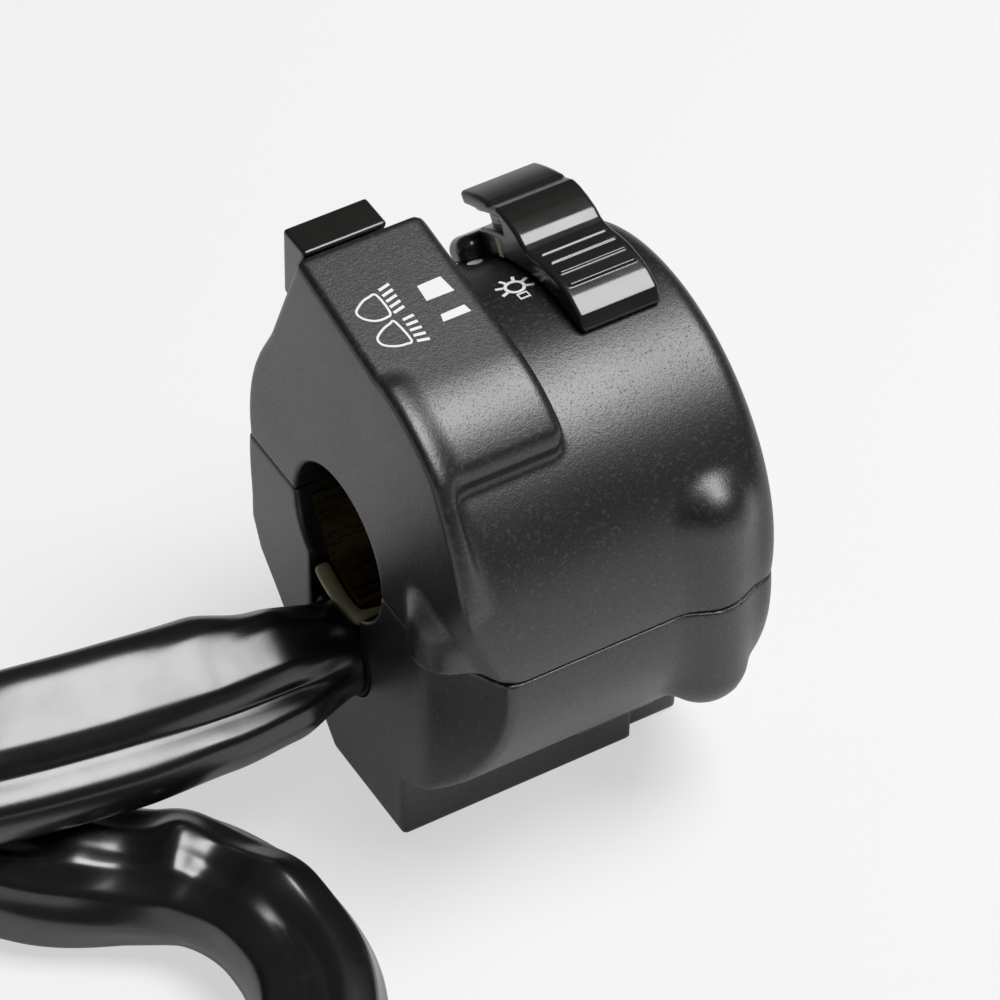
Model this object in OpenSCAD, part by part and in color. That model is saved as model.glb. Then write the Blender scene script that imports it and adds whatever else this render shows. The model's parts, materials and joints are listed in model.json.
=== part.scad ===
// Left-hand handlebar switch cluster: light lever, dimmer slide, turn-signal slide and horn button.
// Origin on the handlebar axis at the inboard face. +X runs outboard along the bar,
// +Y points rearward to the rider and +Z points up. All sizes are in millimetres.

/* [Handlebar] */
// Diameter of the handlebar
bar_d = 22.2; // [22:0.1:23.4]
// Play between the bar and the clamping bore, on the radius
bore_play = 0.05; // [0.02:0.01:0.15]

/* [Housing] */
// Length of the body along the bar
body_len = 47.5; // [46:0.5:56]
// Radius of the drum
drum_r = 29; // [28.5:0.5:32]
// Distance of the drum axis in front of the bar axis
drum_front = 5; // [4:0.5:6]
// Height of the upper half's drum axis above the bar axis
drum_rise = 4; // [3:0.5:5]
// Depth of the lower half's drum axis below the bar axis
drum_drop = 3.6; // [3:0.2:5]
// Thickness of the shell
wall = 2.2; // [1.8:0.1:2.6]
// Thickness of the two end walls
end_wall = 3; // [2.5:0.25:3.5]
// Rounding of the drum's outboard edge
outer_edge_r = 2.5; // [1.5:0.5:3.5]
// Rounding of the drum's inboard edge
inner_edge_r = 1.5; // [0.5:0.5:2]
// Length of the clamping collars
collar_len = 8; // [6:0.5:9]
// Thickness of the clamping collars
collar_wall = 2.8; // [2:0.2:3.2]
// Height of the lip round the inboard edge
lip_h = 4.6; // [3:0.2:5]
// Width of the lip
lip_w = 2.6; // [2:0.2:3.4]

/* [Raised block] */
// Length of the block along the bar, at its rear edge
block_len = 17.3; // [16.5:0.1:19]
// Slant of the block's outboard side
block_skew = 5; // [0:1:7]
// Height of the block's rear top edge above the bar axis
block_top = 42; // [41:0.5:45]
// Distance of the block's rear top edge behind the bar axis
block_rear = 10; // [9:0.5:11]
// Slope of the block's rear face
rear_slope = 22; // [18:1:25]
// Length of the block's rear face
rear_face_len = 27.5; // [26:0.5:30]
// Slope of the block's top
top_slope = 11.7; // [9:0.5:14]
// Length of the block's flat top
flat_len = 26; // [24:0.5:28]
// Radius of the block's nose
nose_r = 9.5; // [8:0.5:11]

/* [Lower box] */
// Depth of the box floor below the bar axis
box_depth = 40.5; // [39:0.5:44]
// Length of the box along the bar
box_len = 44; // [42:0.5:45]
// Length of the raised panel on the front of the box
panel_len = 35.6; // [33:0.2:38]
// How far the raised panel stands proud
panel_proud = 1.8; // [1:0.2:2.4]
// Distance of the box front before the bar axis
box_front = 15.5; // [14:0.5:16.5]
// How far the rear panel lies inside the drum's rearmost line
rear_inset = 0.4; // [0.2:0.1:1]
// Height of the rear panel below the parting line
rear_panel_h = 15; // [14.5:0.5:17]
// Slope of the horn face, below the horizontal
horn_tilt = 43.4; // [40:0.2:46]
// How far the horn face lies outside the drum
horn_face_gap = 1; // [0.5:0.1:2]
// Width of the lug on the box front
lug_w = 12.8; // [10:0.2:14]
// How far the lug stands before the box
lug_proud = 5.9; // [4:0.1:6.5]

/* [Screws] */
// Radius of the screw shank
screw_r = 2; // [1.6:0.1:2.2]
// Radius of the screw head
screw_head_r = 3.5; // [3:0.1:3.8]
// Height of the screw head
screw_head_h = 2.4; // [1.8:0.2:3]
// Radius of the outboard front boss
boss_r = 6.4; // [5.5:0.1:7]
// Radius of the inboard front boss
small_boss_r = 5.5; // [5:0.1:6]

/* [Light lever] */
// Width of the lever along the bar
lever_w = 12; // [11:0.5:13]
// Distance of the lever's middle from the outboard face
lever_inset = 11.5; // [11:0.5:12.5]
// Angle of the lever's stem at rest, forward of the vertical
lever_rest = -28; // [-31:1:-26]
// Turn of the lever from off to on
lever_turn = 21.4; // [16:0.2:22]
// Half the angle that the stem fills
stem_half = 4; // [3:0.5:5]
// Height of the lever's rear plate above the drum
plate_h = 9.1; // [8:0.1:10]
// Height of the ribbed pad above the drum
pad_h = 4.5; // [4:0.1:5]
// Number of ribs on the pad
rib_count = 4; // [3:1:5]

/* [Dimmer] */
// Width of the dimmer knob
dimmer_w = 10.4; // [9:0.2:11]
// Distance of the knob's middle from the inboard face
dimmer_x = 7.5; // [7.2:0.1:8.5]
// How far the knob's top reaches behind the block
dimmer_deep = 6; // [5:0.2:7]
// Height of the knob
dimmer_h = 10.5; // [9.5:0.5:12]
// Travel of the knob
dimmer_travel = 6.5; // [5:0.5:7]

/* [Turn signal] */
// Depth of the knob's middle below the parting line
turn_drop = 8; // [7.6:0.1:8.4]
// Width of the knob
turn_w = 14; // [12:0.5:16]
// Height of the knob
turn_h = 10; // [8:0.5:10.5]
// Travel to either side
turn_travel = 4; // [3:0.25:4]

/* [Horn] */
// Radius of the horn button
horn_r = 6; // [5:0.25:6.5]
// How far the button stands out at rest
horn_out = 3.6; // [3.2:0.1:4.5]
// Travel of the button
horn_travel = 2.5; // [1.5:0.25:2.75]

/* [Harness] */
// Diameter of the sleeve
sleeve_d = 15; // [13:0.5:15]
// Depth of the harness below the bar axis where it enters
harness_drop = 18.5; // [18:0.1:19.5]
// Diameter of each wire
wire_d = 1.6; // [1.2:0.1:1.8]
// Length of the connector
connector_len = 26; // [22:1:30]
// Width of the connector
connector_w = 18; // [16:0.5:22]
// Height of the connector
connector_h = 14; // [13:0.5:14.5]

/* [Fits] */
// Gap between sliding faces
slide_gap = 0.3; // [0.2:0.05:0.4]
// Gap round pieces that sit in a hole
seat_gap = 0.05; // [0.03:0.01:0.1]

/* [Hidden] */
$fn = 96;
far = 200;

drum_y = -drum_front;
bore_r = bar_d / 2 + bore_play;
collar_r = bore_r + collar_wall;
inner_r = drum_r - wall;
far_wall = body_len - end_wall;
rear_flat = drum_r - drum_front - rear_inset;

// Plain polygon tools
function unit(v) = v / norm(v);
function side_normal(a, b) = let (e = unit(b - a)) [e[1], -e[0]];
function inset(p, d) = [
    for (i = [0:len(p) - 1])
        let (
            n = len(p),
            before = side_normal(p[(i + n - 1) % n], p[i]),
            after = side_normal(p[i], p[(i + 1) % n])
        )
        p[i] - d * (before + after) / (1 + before * after)
];

// A point at radius r about the upper drum axis, a degrees forward of the vertical
function on_drum(r, a) = [drum_y - r * sin(a), drum_rise + r * cos(a)];
function drum_arc(r, a0, a1, n) = [for (i = [0:n]) on_drum(r, a0 + (a1 - a0) * i / n)];

// Block outline in the Y-Z plane
block_corner = [block_rear, block_top];
rear_foot = block_corner + rear_face_len * [sin(rear_slope), -cos(rear_slope)];
nose_start = block_corner - flat_len * [cos(top_slope), sin(top_slope)];
nose_centre = nose_start - nose_r * [-sin(top_slope), cos(top_slope)];
nose_end = 100;
nose_steps = 12;
block_outline = concat(
    [rear_foot, block_corner],
    [
        for (i = [0:nose_steps])
            let (a = top_slope + (nose_end - top_slope) * i / nose_steps)
            nose_centre + nose_r * [-sin(a), cos(a)]
    ],
    [[drum_y - 10, drum_rise + 4], [drum_y + 17, drum_rise - 2]]
);

// Lip outline: full height over the block's nose, fading out down the front
lip_from = 12;
lip_full = 36;
lip_to = 68;
lip_step = 4;
function lip_r(a) = drum_r + lip_h * min(1, (lip_to - a) / (lip_to - lip_full));
lip_outline = concat(
    [for (a = [lip_from:lip_step:lip_to]) on_drum(lip_r(a), a)],
    [on_drum(inner_r - wall, lip_to), on_drum(inner_r - wall, lip_from)]
);

// Lower section outline, with the horn face as a line at a set distance from the drum axis
horn_out_dir = [cos(horn_tilt), -sin(horn_tilt)];
horn_reach = drum_r + horn_face_gap;
function horn_line_y(z) = drum_y + (horn_reach + (z + drum_drop) * sin(horn_tilt)) / cos(horn_tilt);
function horn_line_z(y) = -drum_drop - (horn_reach - (y - drum_y) * cos(horn_tilt)) / sin(horn_tilt);
rear_round = 2.1;
corner_cut = 6.6;
box_rear = horn_line_y(-box_depth);
low_corner = [rear_flat - corner_cut, horn_line_z(rear_flat - corner_cut)];
low_outline = [
    [rear_flat, wall + 1],
    [drum_y, wall + 1],
    [-box_front, -drum_drop - 20],
    [-box_front, -box_depth],
    [box_rear, -box_depth],
    low_corner,
    [rear_flat - rear_round, -rear_panel_h - 2.2 * rear_round],
    [rear_flat, -rear_panel_h]
];
back_outline = [
    [rear_flat, wall + 1],
    [drum_y, wall + 1],
    [drum_y, low_corner[1]],
    low_corner,
    [rear_flat - rear_round, -rear_panel_h - 2.2 * rear_round],
    [rear_flat, -rear_panel_h]
];

// Front inboard corner, cut away
corner_y = -20;
corner_x = 8;
corner_front = -drum_r - drum_front - 2;
corner_top = 22;

// Screw places: [x, y, depth of the head's seat, height of the shank's tip]
boss_x = body_len - 7.5;
boss_y = drum_y - drum_r + 4.2;
boss_dome = 13.5;
boss_foot = -15;
boss_step = 0.3;
small_boss_x = 3.4;
small_boss_y = -23.2;
small_boss_dome = 5;
rear_screw_x = body_len - 4.8;
rear_screw_y = 16.4;
screw_post_r = 3.9;
screw_bite = 9;
screw_places = [
    [boss_x, boss_y, boss_foot - 2, screw_bite],
    [small_boss_x + 1.4, small_boss_y, -18, screw_bite - 1.5],
    [rear_screw_x, rear_screw_y, -16, screw_bite]
];

// Light switch: rings about the drum axis
lever_x = body_len - lever_inset;
lever_gap = slide_gap + 0.1;
stem_w = 7;
slider_out = inner_r - slide_gap;
slider_deep = 2.6;
slider_in = slider_out - slider_deep;
strip_t = 0.6;
base_t = 2;
contact_in = slider_in - strip_t;
terminal_out = contact_in - slide_gap;
terminal_in = terminal_out - strip_t;
light_base_in = terminal_in - base_t;
light_slider_half = 12;
contact_half = 7;
contact_w = 6.5;
contact_shift = -0.75;
light_terminal_w = 8;
light_terminal_shift = -1;
light_base_w = 7;
light_slider_w = 13.2;
ball_r = 0.9;
ball_hole_r = 1;
light_ball_x = lever_x + 5.2;
light_ball_at = terminal_in + ball_r + 0.1;
skirt_h = 1.9;
skirt_back = 26;
skirt_w = 15.6;
skirt_shift = -1.2;

// Lever outline: [angle ahead of the stem's middle, height above the drum]
plate_t = 1.9;
plate_back = -13;
plate_front = 1;
lever_top = [
    [plate_back, plate_h],
    [plate_front, plate_h - 0.2],
    [plate_front + 2.4, plate_h - 0.9],
    [plate_front + 4.8, pad_h + (plate_h - pad_h) * 0.46],
    [plate_front + 7, pad_h + (plate_h - pad_h) * 0.14],
    [plate_front + 10, pad_h - 0.3],
    [plate_front + 14, pad_h - 0.2],
    [plate_front + 23, pad_h + 0.1],
    [plate_front + 31, pad_h - 0.1],
    [plate_front + 35.5, pad_h - 0.8],
    [plate_front + 38.4, pad_h - 2.2],
    [plate_front + 39.8, lever_gap + 0.4]
];
pad_front = plate_front + 39.6;
rib_from = 16;
rib_step = 4.6;
rib_r = 0.4;

// Dimmer: local frame on the block's rear face, its top edge at zero
dimmer_neck_w = 6;
dimmer_neck_top = -3.8;
dimmer_neck_len = 5;
dimmer_slider_w = 8.2;
dimmer_slider_t = 2.4;
dimmer_face = -wall - slide_gap;
dimmer_inside = dimmer_face - dimmer_slider_t;
dimmer_contact_in = dimmer_inside - strip_t;
dimmer_terminal_out = dimmer_contact_in - slide_gap;
dimmer_base_face = dimmer_terminal_out - strip_t;
dimmer_slider_top = -3.2;
dimmer_slider_len = 9;
dimmer_ball_x = dimmer_x + 2.9;
dimmer_ball_z = dimmer_neck_top - 4.2;

// Turn switch: planes behind the bar
turn_z = -turn_drop;
turn_neck_w = 6;
turn_neck_h = 4.4;
turn_inside = rear_flat - wall;
turn_post_t = 1.3;
turn_start = collar_len + slide_gap;
turn_end = rear_screw_x - screw_post_r - slide_gap;
turn_x = (turn_start + turn_end) / 2;
carriage_half = (turn_end - turn_start) / 2 - turn_post_t - turn_travel - slide_gap;
turn_ball_x = turn_x + carriage_half - 2.5;
carriage_h = 10;
carriage_t = 2.5;
carriage_back = turn_inside - slide_gap;
carriage_front = carriage_back - carriage_t;
turn_contact_front = carriage_front - strip_t;
turn_terminal_back = turn_contact_front - slide_gap;
turn_base_back = turn_terminal_back - strip_t;
turn_base_front = turn_base_back - base_t;
turn_base_h = 10.6;
turn_ball_z = turn_z + 2.2;
turn_contact_half = 4.5;
turn_terminal_w = 5.4;
turn_terminal_step = carriage_half - turn_terminal_w / 2;

// Horn: local frame on the box's sloping rear face, its Z pointing out
horn_mid = (low_corner + [box_rear, -box_depth]) / 2;
horn_turn = -90 - horn_tilt;
function at_horn(x, n) = let (p = horn_mid + n * horn_out_dir) [x, p[0], p[1]];
horn_x = 18;
horn_flange_r = horn_r + 1.4;
horn_flange_t = 1.6;
horn_flange_out = -wall - slide_gap;
horn_flange_in = horn_flange_out - horn_flange_t;
horn_spring_len = 5.8;
horn_base_out = horn_flange_in - horn_spring_len;
horn_stem_len = horn_spring_len - horn_travel - 2 * strip_t - slide_gap;
horn_base_w = 22;
horn_base_h = 15;
horn_post_x = 9.4;
horn_post_r = 1.5;
horn_bezel_w = 2;
horn_bezel_h = 1.1;
spring_wire = 0.7;

// Harness
grommet_r = sleeve_d / 2 - 0.3;
grommet_len = end_wall + 1.5;
grommet_flange = 1.2;
harness_y = -1;
mouth_front = 4.5;
mouth_rear = 7.5;
grommet_trim = bore_r + 3.4;
saddle_t = 1;
saddle_in = bore_r;
saddle_out = saddle_in + saddle_t;
saddle_from = -6;
saddle_to = 80;
saddle_x = 2.6;
clamp_t = 1;
clamp_w = 10;
clamp_len = 3.5;
sleeve_z = -box_depth + sleeve_d / 2;
sleeve_sides = 12;
sleeve_route = [
    [0, harness_y, -harness_drop],
    [-6, harness_y, -harness_drop],
    [-18, -1, -17.5],
    [-34, 0, -16.5],
    [-52, 2, -17.5],
    [-69, 5, -21],
    [-85, 11, -26],
    [-99, 21, -31],
    [-108, 36, sleeve_z],
    [-110, 54, sleeve_z],
    [-102, 70, sleeve_z],
    [-86, 79, sleeve_z],
    [-68, 78, sleeve_z],
    [-54, 67, sleeve_z],
    [-48, 50, sleeve_z],
    [-45, 32, sleeve_z],
    [-41, 14, sleeve_z],
    [-36, -3, sleeve_z],
    [-31, -20, sleeve_z],
    [-31, -38, sleeve_z],
    [-38, -54, sleeve_z],
    [-51, -66, sleeve_z],
    [-67, -74, sleeve_z]
];
wire_sides = 8;
wire_start = grommet_len;
wire_lead = 1.5;
turn_wire = [
    [wire_start, 2, -17.5], [wire_start + wire_lead, 2, -17.5], [8.5, 4, -17], [10.5, 8.5, -15.5],
    [12, turn_base_front - 3, -12.5], [12.5, turn_base_front - 1.8, -11.5], [12.5, turn_base_front, -11.5]
];
horn_wire = [
    [wire_start, -1, -22], [wire_start + wire_lead, -1, -22], [8, -1.5, -22],
    at_horn(11, horn_base_out - base_t - 3.4), at_horn(16, horn_base_out - base_t - 1.4)
];
mouth_wire_d = 2.2;
mouth_wire_r = bore_r + 0.3 + mouth_wire_d / 2;
function round_bar(x, r, a) = [x, r * sin(a), -r * cos(a)];
mouth_wire = [
    round_bar(1.3, mouth_wire_r, 32), round_bar(1.3, mouth_wire_r, 22), round_bar(1.3, mouth_wire_r, 12),
    round_bar(1.3, mouth_wire_r + 0.1, 3), round_bar(1.4, mouth_wire_r + 0.2, -6),
    round_bar(2, mouth_wire_r + 0.4, -12), round_bar(4.5, mouth_wire_r + 0.6, -15),
    round_bar(8, mouth_wire_r + 0.8, -16), round_bar(13, mouth_wire_r + 2, -18)
];
light_wire = [
    [wire_start, -4, -17], [wire_start + wire_lead, -4, -17], [9.5, -8.5, -15.5], [13, -14, -10],
    [19, -17.5, -1], [25, -17, 9], [30, -12, 17], [34, -8.5, 21]
];
dimmer_wire = [
    [wire_start, -5, -21.5], [wire_start + wire_lead, -5, -21.5], [9.5, -12.5, -18], [10, -18, -10],
    [10, -20, 1], [10, -15, 12], [10, -6, 18.5], [10, 2, 21], [10, 6.5, 22.5]
];

// Extrudes a Y-Z outline along the bar
module along_x(x0, x1) {
    translate([x0, 0, 0])
        rotate([90, 0, 90])
            linear_extrude(x1 - x0)
                children();
}

// A round bar or hole along X
module rod_x(r, x0, x1, y = 0, z = 0) {
    translate([x0, y, z])
        rotate([0, 90, 0])
            cylinder(r = r, h = x1 - x0);
}

// A round bar or hole along Z
module rod_z(r, z0, z1, x = 0, y = 0) {
    translate([x, y, z0])
        cylinder(r = r, h = z1 - z0);
}

// A box from one corner to the other
module block_of(low, high) {
    translate(low)
        cube(high - low);
}

// Part of a ring about the upper drum axis
module drum_sector(r0, r1, a0, a1, x0, x1) {
    reach = 2 * r1;
    along_x(x0, x1)
        intersection() {
            translate([drum_y, drum_rise])
                difference() {
                    circle(r1);
                    circle(r0);
                }
            polygon(concat([[drum_y, drum_rise]], drum_arc(reach, a0, a1, 4)));
        }
}

// A radial pin about the upper drum axis
module drum_pin(r, r0, r1, a, x) {
    translate([x, drum_y, drum_rise])
        rotate([a, 0, 0])
            rod_z(r, r0, r1);
}

// A drum with rounded edges
module drum(r, z, x0, x1, e0, e1) {
    translate([x0, drum_y, z])
        rotate([0, 90, 0])
            rotate_extrude() {
                square([r - max(e0, e1), x1 - x0]);
                square([r - e0, e0]);
                translate([0, e0])
                    square([r, x1 - x0 - e0 - e1]);
                translate([r - e0, e0])
                    circle(e0);
                translate([r - e1, x1 - x0 - e1])
                    circle(e1);
            }
}

module upper_space() {
    block_of([-far, -far, 0], [far, far, far]);
}

module lower_space() {
    block_of([-far, -far, -far], [far, far, 0]);
}

// A domed upright boss
module domed_boss(x, y, r, z0, z1) {
    rod_z(r, z0, z1, x, y);
    translate([x, y, z1])
        sphere(r);
}

// Block seen from above, with its slanted outboard side
module block_plan(inset_by) {
    shift = tan(block_skew);
    reach = 60;
    polygon([
        [inset_by, reach],
        [block_len - inset_by + shift * (block_rear - reach), reach],
        [block_len - inset_by + shift * (block_rear + reach), -reach],
        [inset_by, -reach]
    ]);
}

module raised_block(x0, x1, outline, inset_by) {
    intersection() {
        along_x(x0, x1)
            polygon(outline);
        translate([0, 0, -far])
            linear_extrude(2 * far)
                block_plan(inset_by);
    }
}

module upper_outside() {
    difference() {
        union() {
            drum(drum_r, drum_rise, 0, body_len, inner_edge_r, outer_edge_r);
            raised_block(0, body_len, block_outline, 0);
            along_x(0, lip_w)
                polygon(lip_outline);
        }
        polyhedron(
            [
                [-1, corner_y, -1], [corner_x, corner_front, -1],
                [-1, corner_front, -1], [-1, corner_front, corner_top]
            ],
            [[0, 2, 1], [0, 1, 3], [1, 2, 3], [0, 3, 2]]
        );
    }
    domed_boss(boss_x, boss_y, boss_r, -1, boss_dome);
    domed_boss(small_boss_x, small_boss_y, small_boss_r, -1, small_boss_dome);
}

module bar_hole() {
    rod_x(bore_r, -far, far);
}

module collars() {
    rod_x(collar_r, 0, collar_len);
    rod_x(collar_r, body_len - collar_len, body_len);
}

// Solid behind the cut corner, so that it stays closed beside the screw post
module corner_fill() {
    block_of([0, corner_front, -far], [corner_x, corner_y - wall, small_boss_dome + small_boss_r]);
}

module screw_posts() {
    for (p = screw_places)
        rod_z(screw_post_r, -far, p[3] + 2, p[0], p[1]);
}

module upper_posts() {
    for (p = screw_places)
        rod_z(screw_post_r, -1, p[3] + 2, p[0], p[1]);
}

module screw_holes() {
    for (p = screw_places) {
        rod_z(screw_r + seat_gap, p[2], p[3] + 0.5, p[0], p[1]);
        rod_z(screw_head_r + seat_gap, -far, p[2], p[0], p[1]);
    }
}

module lever_slot() {
    drum_sector(
        inner_r - 2, drum_r + 2,
        lever_rest - stem_half - 1, lever_rest + lever_turn + stem_half + 1,
        lever_x - stem_w / 2 - slide_gap, lever_x + stem_w / 2 + slide_gap
    );
}

// Puts local Y out of the block's rear face and local Z up along it
module on_rear_face() {
    translate([0, block_rear, block_top])
        rotate([rear_slope, 0, 0])
            children();
}

module dimmer_slot() {
    half = dimmer_neck_w / 2 + slide_gap;
    on_rear_face()
        block_of(
            [dimmer_x - half, -2 * wall, dimmer_neck_top - dimmer_neck_len - dimmer_travel - slide_gap],
            [dimmer_x + half, 1, dimmer_neck_top + slide_gap]
        );
}

module upper_hollow() {
    rod_x(inner_r, end_wall, far_wall, drum_y, drum_rise);
    raised_block(end_wall, body_len, inset(block_outline, wall), wall);
}

// Upper half shell with the block, the lip and the bosses
module upper_housing() {
    color("#1d1e21")
        difference() {
            union() {
                difference() {
                    upper_outside();
                    upper_hollow();
                }
                collars();
                upper_posts();
                intersection() {
                    upper_outside();
                    corner_fill();
                }
            }
            lower_space();
            bar_hole();
            screw_holes();
            lever_slot();
            dimmer_slot();
        }
}

module lower_outside() {
    difference() {
        union() {
            drum(drum_r, -drum_drop, 0, body_len, inner_edge_r, outer_edge_r);
            along_x(0, box_len)
                polygon(low_outline);
            along_x(inner_edge_r, body_len - outer_edge_r)
                polygon(back_outline);
        }
        linear_extrude(4 * far, center = true)
            polygon([[-1, corner_y], [corner_x, corner_front], [-1, corner_front]]);
    }
    block_of([0, -box_front - panel_proud, -box_depth], [panel_len, -box_front + 1, -drum_drop - 20]);
    block_of(
        [panel_len - lug_w + 1.2, -box_front - lug_proud, -box_depth + 10],
        [panel_len + 1.2, -box_front + 1, -drum_drop - 15]
    );
    domed_foot();
}

// Foot of the outboard front boss, a small step proud of the upper half
module domed_foot() {
    r = boss_r + boss_step;
    rod_z(r, boss_foot, 1, boss_x, boss_y);
    translate([boss_x, boss_y, boss_foot])
        sphere(r);
}

module lower_hollow() {
    rod_x(inner_r, end_wall, far_wall, drum_y, -drum_drop);
    along_x(end_wall, box_len - wall)
        polygon(inset(low_outline, wall));
    along_x(end_wall, far_wall)
        polygon(inset(back_outline, wall));
}

module turn_slot() {
    half = turn_neck_w / 2 + turn_travel + slide_gap;
    tall = turn_neck_h / 2 + slide_gap;
    block_of(
        [turn_x - half, turn_inside - 1, turn_z - tall],
        [turn_x + half, rear_flat + 1, turn_z + tall]
    );
}

// Puts local Z out of the box's sloping rear face, at the horn button
module on_horn_face() {
    translate([horn_x, horn_mid[0], horn_mid[1]])
        rotate([horn_turn, 0, 0])
            children();
}

module harness_hole() {
    rod_x(grommet_r + seat_gap, -1, collar_len + 1, harness_y, -harness_drop);
    block_of([-1, harness_y - mouth_front, -harness_drop], [collar_len + 1, mouth_rear, -bore_r / 2]);
}

// Part of a ring about the bar axis, from one angle to another behind its lowest line
module bar_sector(r0, r1, a0, a1, x0, x1) {
    reach = 2 * r1;
    rim = [for (i = [0:4]) let (a = a0 + (a1 - a0) * i / 4) reach * [sin(a), -cos(a)]];
    along_x(x0, x1)
        intersection() {
            difference() {
                circle(r1);
                circle(r0);
            }
            polygon(concat([[0, 0]], rim));
        }
}

// Lower half shell with the box that it stands on
module lower_housing() {
    color("#1d1e21")
        difference() {
            intersection() {
                lower_space();
                lower_outside();
                union() {
                    difference() {
                        lower_outside();
                        lower_hollow();
                    }
                    collars();
                    screw_posts();
                    corner_fill();
                }
            }
            bar_hole();
            screw_holes();
            turn_slot();
            on_horn_face()
                rod_z(horn_r + seat_gap, -2 * wall, 5);
            harness_hole();
            bar_sector(
                bore_r - 1, saddle_out + seat_gap, saddle_from - 2, saddle_to + 1,
                saddle_x - seat_gap, body_len - saddle_x + seat_gap
            );
            rod_x(clamp_screw_r, 0.8, end_wall + 1, clamp_y, clamp_screw_z);
        }
}
clamp_screw_r = 1.25;
clamp_screw_z = -harness_drop - grommet_r - 4;
clamp_foot = 3;
clamp_side = 1.5;
clamp_y = horn_line_y(clamp_screw_z - clamp_foot) - wall / cos(horn_tilt) - clamp_side - clamp_w / 2;

// Three alike housing screws, heads down
module housing_screws() {
    color("#c9b458")
        for (p = screw_places)
            difference() {
                union() {
                    rod_z(screw_r, p[2] - 0.1, p[3], p[0], p[1]);
                    rod_z(screw_head_r, p[2] - screw_head_h, p[2], p[0], p[1]);
                }
                translate([p[0], p[1], p[2] - screw_head_h])
                    for (a = [0, 90])
                        rotate([0, 0, a])
                            cube([4, 0.9, 2.4], center = true);
            }
}

// Zinc-plated strip that the bar beds on, let into both collars
module bar_saddle() {
    color("#b8a24a")
        bar_sector(saddle_in, saddle_out, saddle_from, saddle_to, saddle_x, body_len - saddle_x);
}

module lever_body() {
    under = drum_r + lever_gap;
    top = [for (p = lever_top) on_drum(drum_r + p[1], lever_rest + p[0])];
    bottom = drum_arc(under, lever_rest + pad_front, lever_rest - stem_half, 12);
    back = [
        on_drum(drum_r + plate_h - plate_t, lever_rest - stem_half),
        on_drum(drum_r + plate_h - plate_t, lever_rest + plate_back)
    ];
    along_x(lever_x - lever_w / 2, lever_x + lever_w / 2)
        polygon(concat(top, bottom, back));
}

// Thumb lever with its ribbed pad, rear plate, stem and slot cover
module light_lever() {
    color("#2b2a27") {
        difference() {
            lever_body();
            drum_sector(
                drum_r - 1, drum_r + plate_h - plate_t,
                lever_rest - 2 * stem_half, lever_rest + stem_half,
                lever_x - lever_w, lever_x - stem_w / 2
            );
        }
        for (i = [0:rib_count - 1])
            let (p = on_drum(drum_r + pad_h - 0.15, lever_rest + plate_front + rib_from + rib_step * i))
            rod_x(rib_r, lever_x - lever_w / 2 + 0.8, lever_x + lever_w / 2 - 0.8, p[0], p[1]);
        drum_sector(
            slider_out, drum_r + plate_h - plate_t,
            lever_rest - stem_half, lever_rest + stem_half,
            lever_x - stem_w / 2, lever_x + stem_w / 2
        );
        drum_sector(
            drum_r + lever_gap, drum_r + lever_gap + skirt_h,
            lever_rest - skirt_back, lever_rest,
            lever_x + skirt_shift - skirt_w / 2, lever_x + skirt_shift + skirt_w / 2
        );
    }
}

// Shoe under the drum wall that carries the moving contact
module light_slider() {
    color("#d8d2c0")
        difference() {
            drum_sector(
                slider_in, slider_out,
                lever_rest - light_slider_half, lever_rest + light_slider_half,
                lever_x - light_slider_w / 2, lever_x + light_slider_w / 2
            );
            drum_pin(ball_hole_r, slider_in - 1, slider_out - 0.5, lever_rest, light_ball_x);
        }
}

module light_contact() {
    color("#b87333")
        drum_sector(
            contact_in, slider_in,
            lever_rest - contact_half, lever_rest + contact_half,
            lever_x + contact_shift - contact_w / 2, lever_x + contact_shift + contact_w / 2
        );
}

module light_terminals() {
    color("#c8a848")
        for (a = [[-14, 9], [12, 36]])
            drum_sector(
                terminal_in, terminal_out,
                lever_rest + a[0], lever_rest + a[1],
                lever_x + light_terminal_shift - light_terminal_w / 2,
                lever_x + light_terminal_shift + light_terminal_w / 2
            );
}

// Curved insulating base on the outboard end wall
module light_base() {
    color("#8a5a34")
        drum_sector(
            light_base_in, terminal_in,
            lever_rest - 18, lever_rest + 42,
            lever_x - light_base_w, far_wall
        );
}

module light_detent_ball() {
    at = on_drum(light_ball_at, lever_rest);
    color("#c0c4c8")
        translate([light_ball_x, at[0], at[1]])
            sphere(ball_r);
}

// A coil spring along +Z from z = 0, with the least gap between its turns printed
module coil_spring(mean_r, length, wire, turns) {
    rings = 8;
    sides = 6;
    steps = turns * rings;
    rise = length - wire;
    gap = rise / turns - wire;
    echo(spring_gap = gap);
    at = [
        for (i = [0:steps])
            let (a = 360 * i / rings)
            [mean_r * cos(a), mean_r * sin(a), wire / 2 + rise * i / steps]
    ];
    points = [
        for (i = [0:steps])
            let (a = 360 * i / rings, out = [cos(a), sin(a), 0])
            for (k = [0:sides - 1])
                at[i] + wire / 2 * (out * cos(360 * k / sides) + [0, 0, 1] * sin(360 * k / sides))
    ];
    polyhedron(points, tube_faces(steps, sides));
}

function tube_faces(steps, sides) = concat(
    [
        for (i = [0:steps - 1], k = [0:sides - 1])
            let (a = i * sides + k, b = i * sides + (k + 1) % sides)
            each [[a, a + sides, b + sides], [a, b + sides, b]]
    ],
    [for (k = [1:sides - 2]) [0, k, k + 1]],
    [for (k = [1:sides - 2]) let (s = steps * sides) [s, s + k + 1, s + k]]
);

// Small detent spring along +Z
module detent_spring(length) {
    coil_spring(0.6, length, 0.25, 3);
}

module light_detent_spring() {
    start = light_ball_at + ball_r;
    color("#9aa0a6")
        translate([light_ball_x, drum_y, drum_rise])
            rotate([lever_rest, 0, 0])
                translate([0, 0, start])
                    detent_spring(slider_out - 0.5 - start);
}

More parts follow.
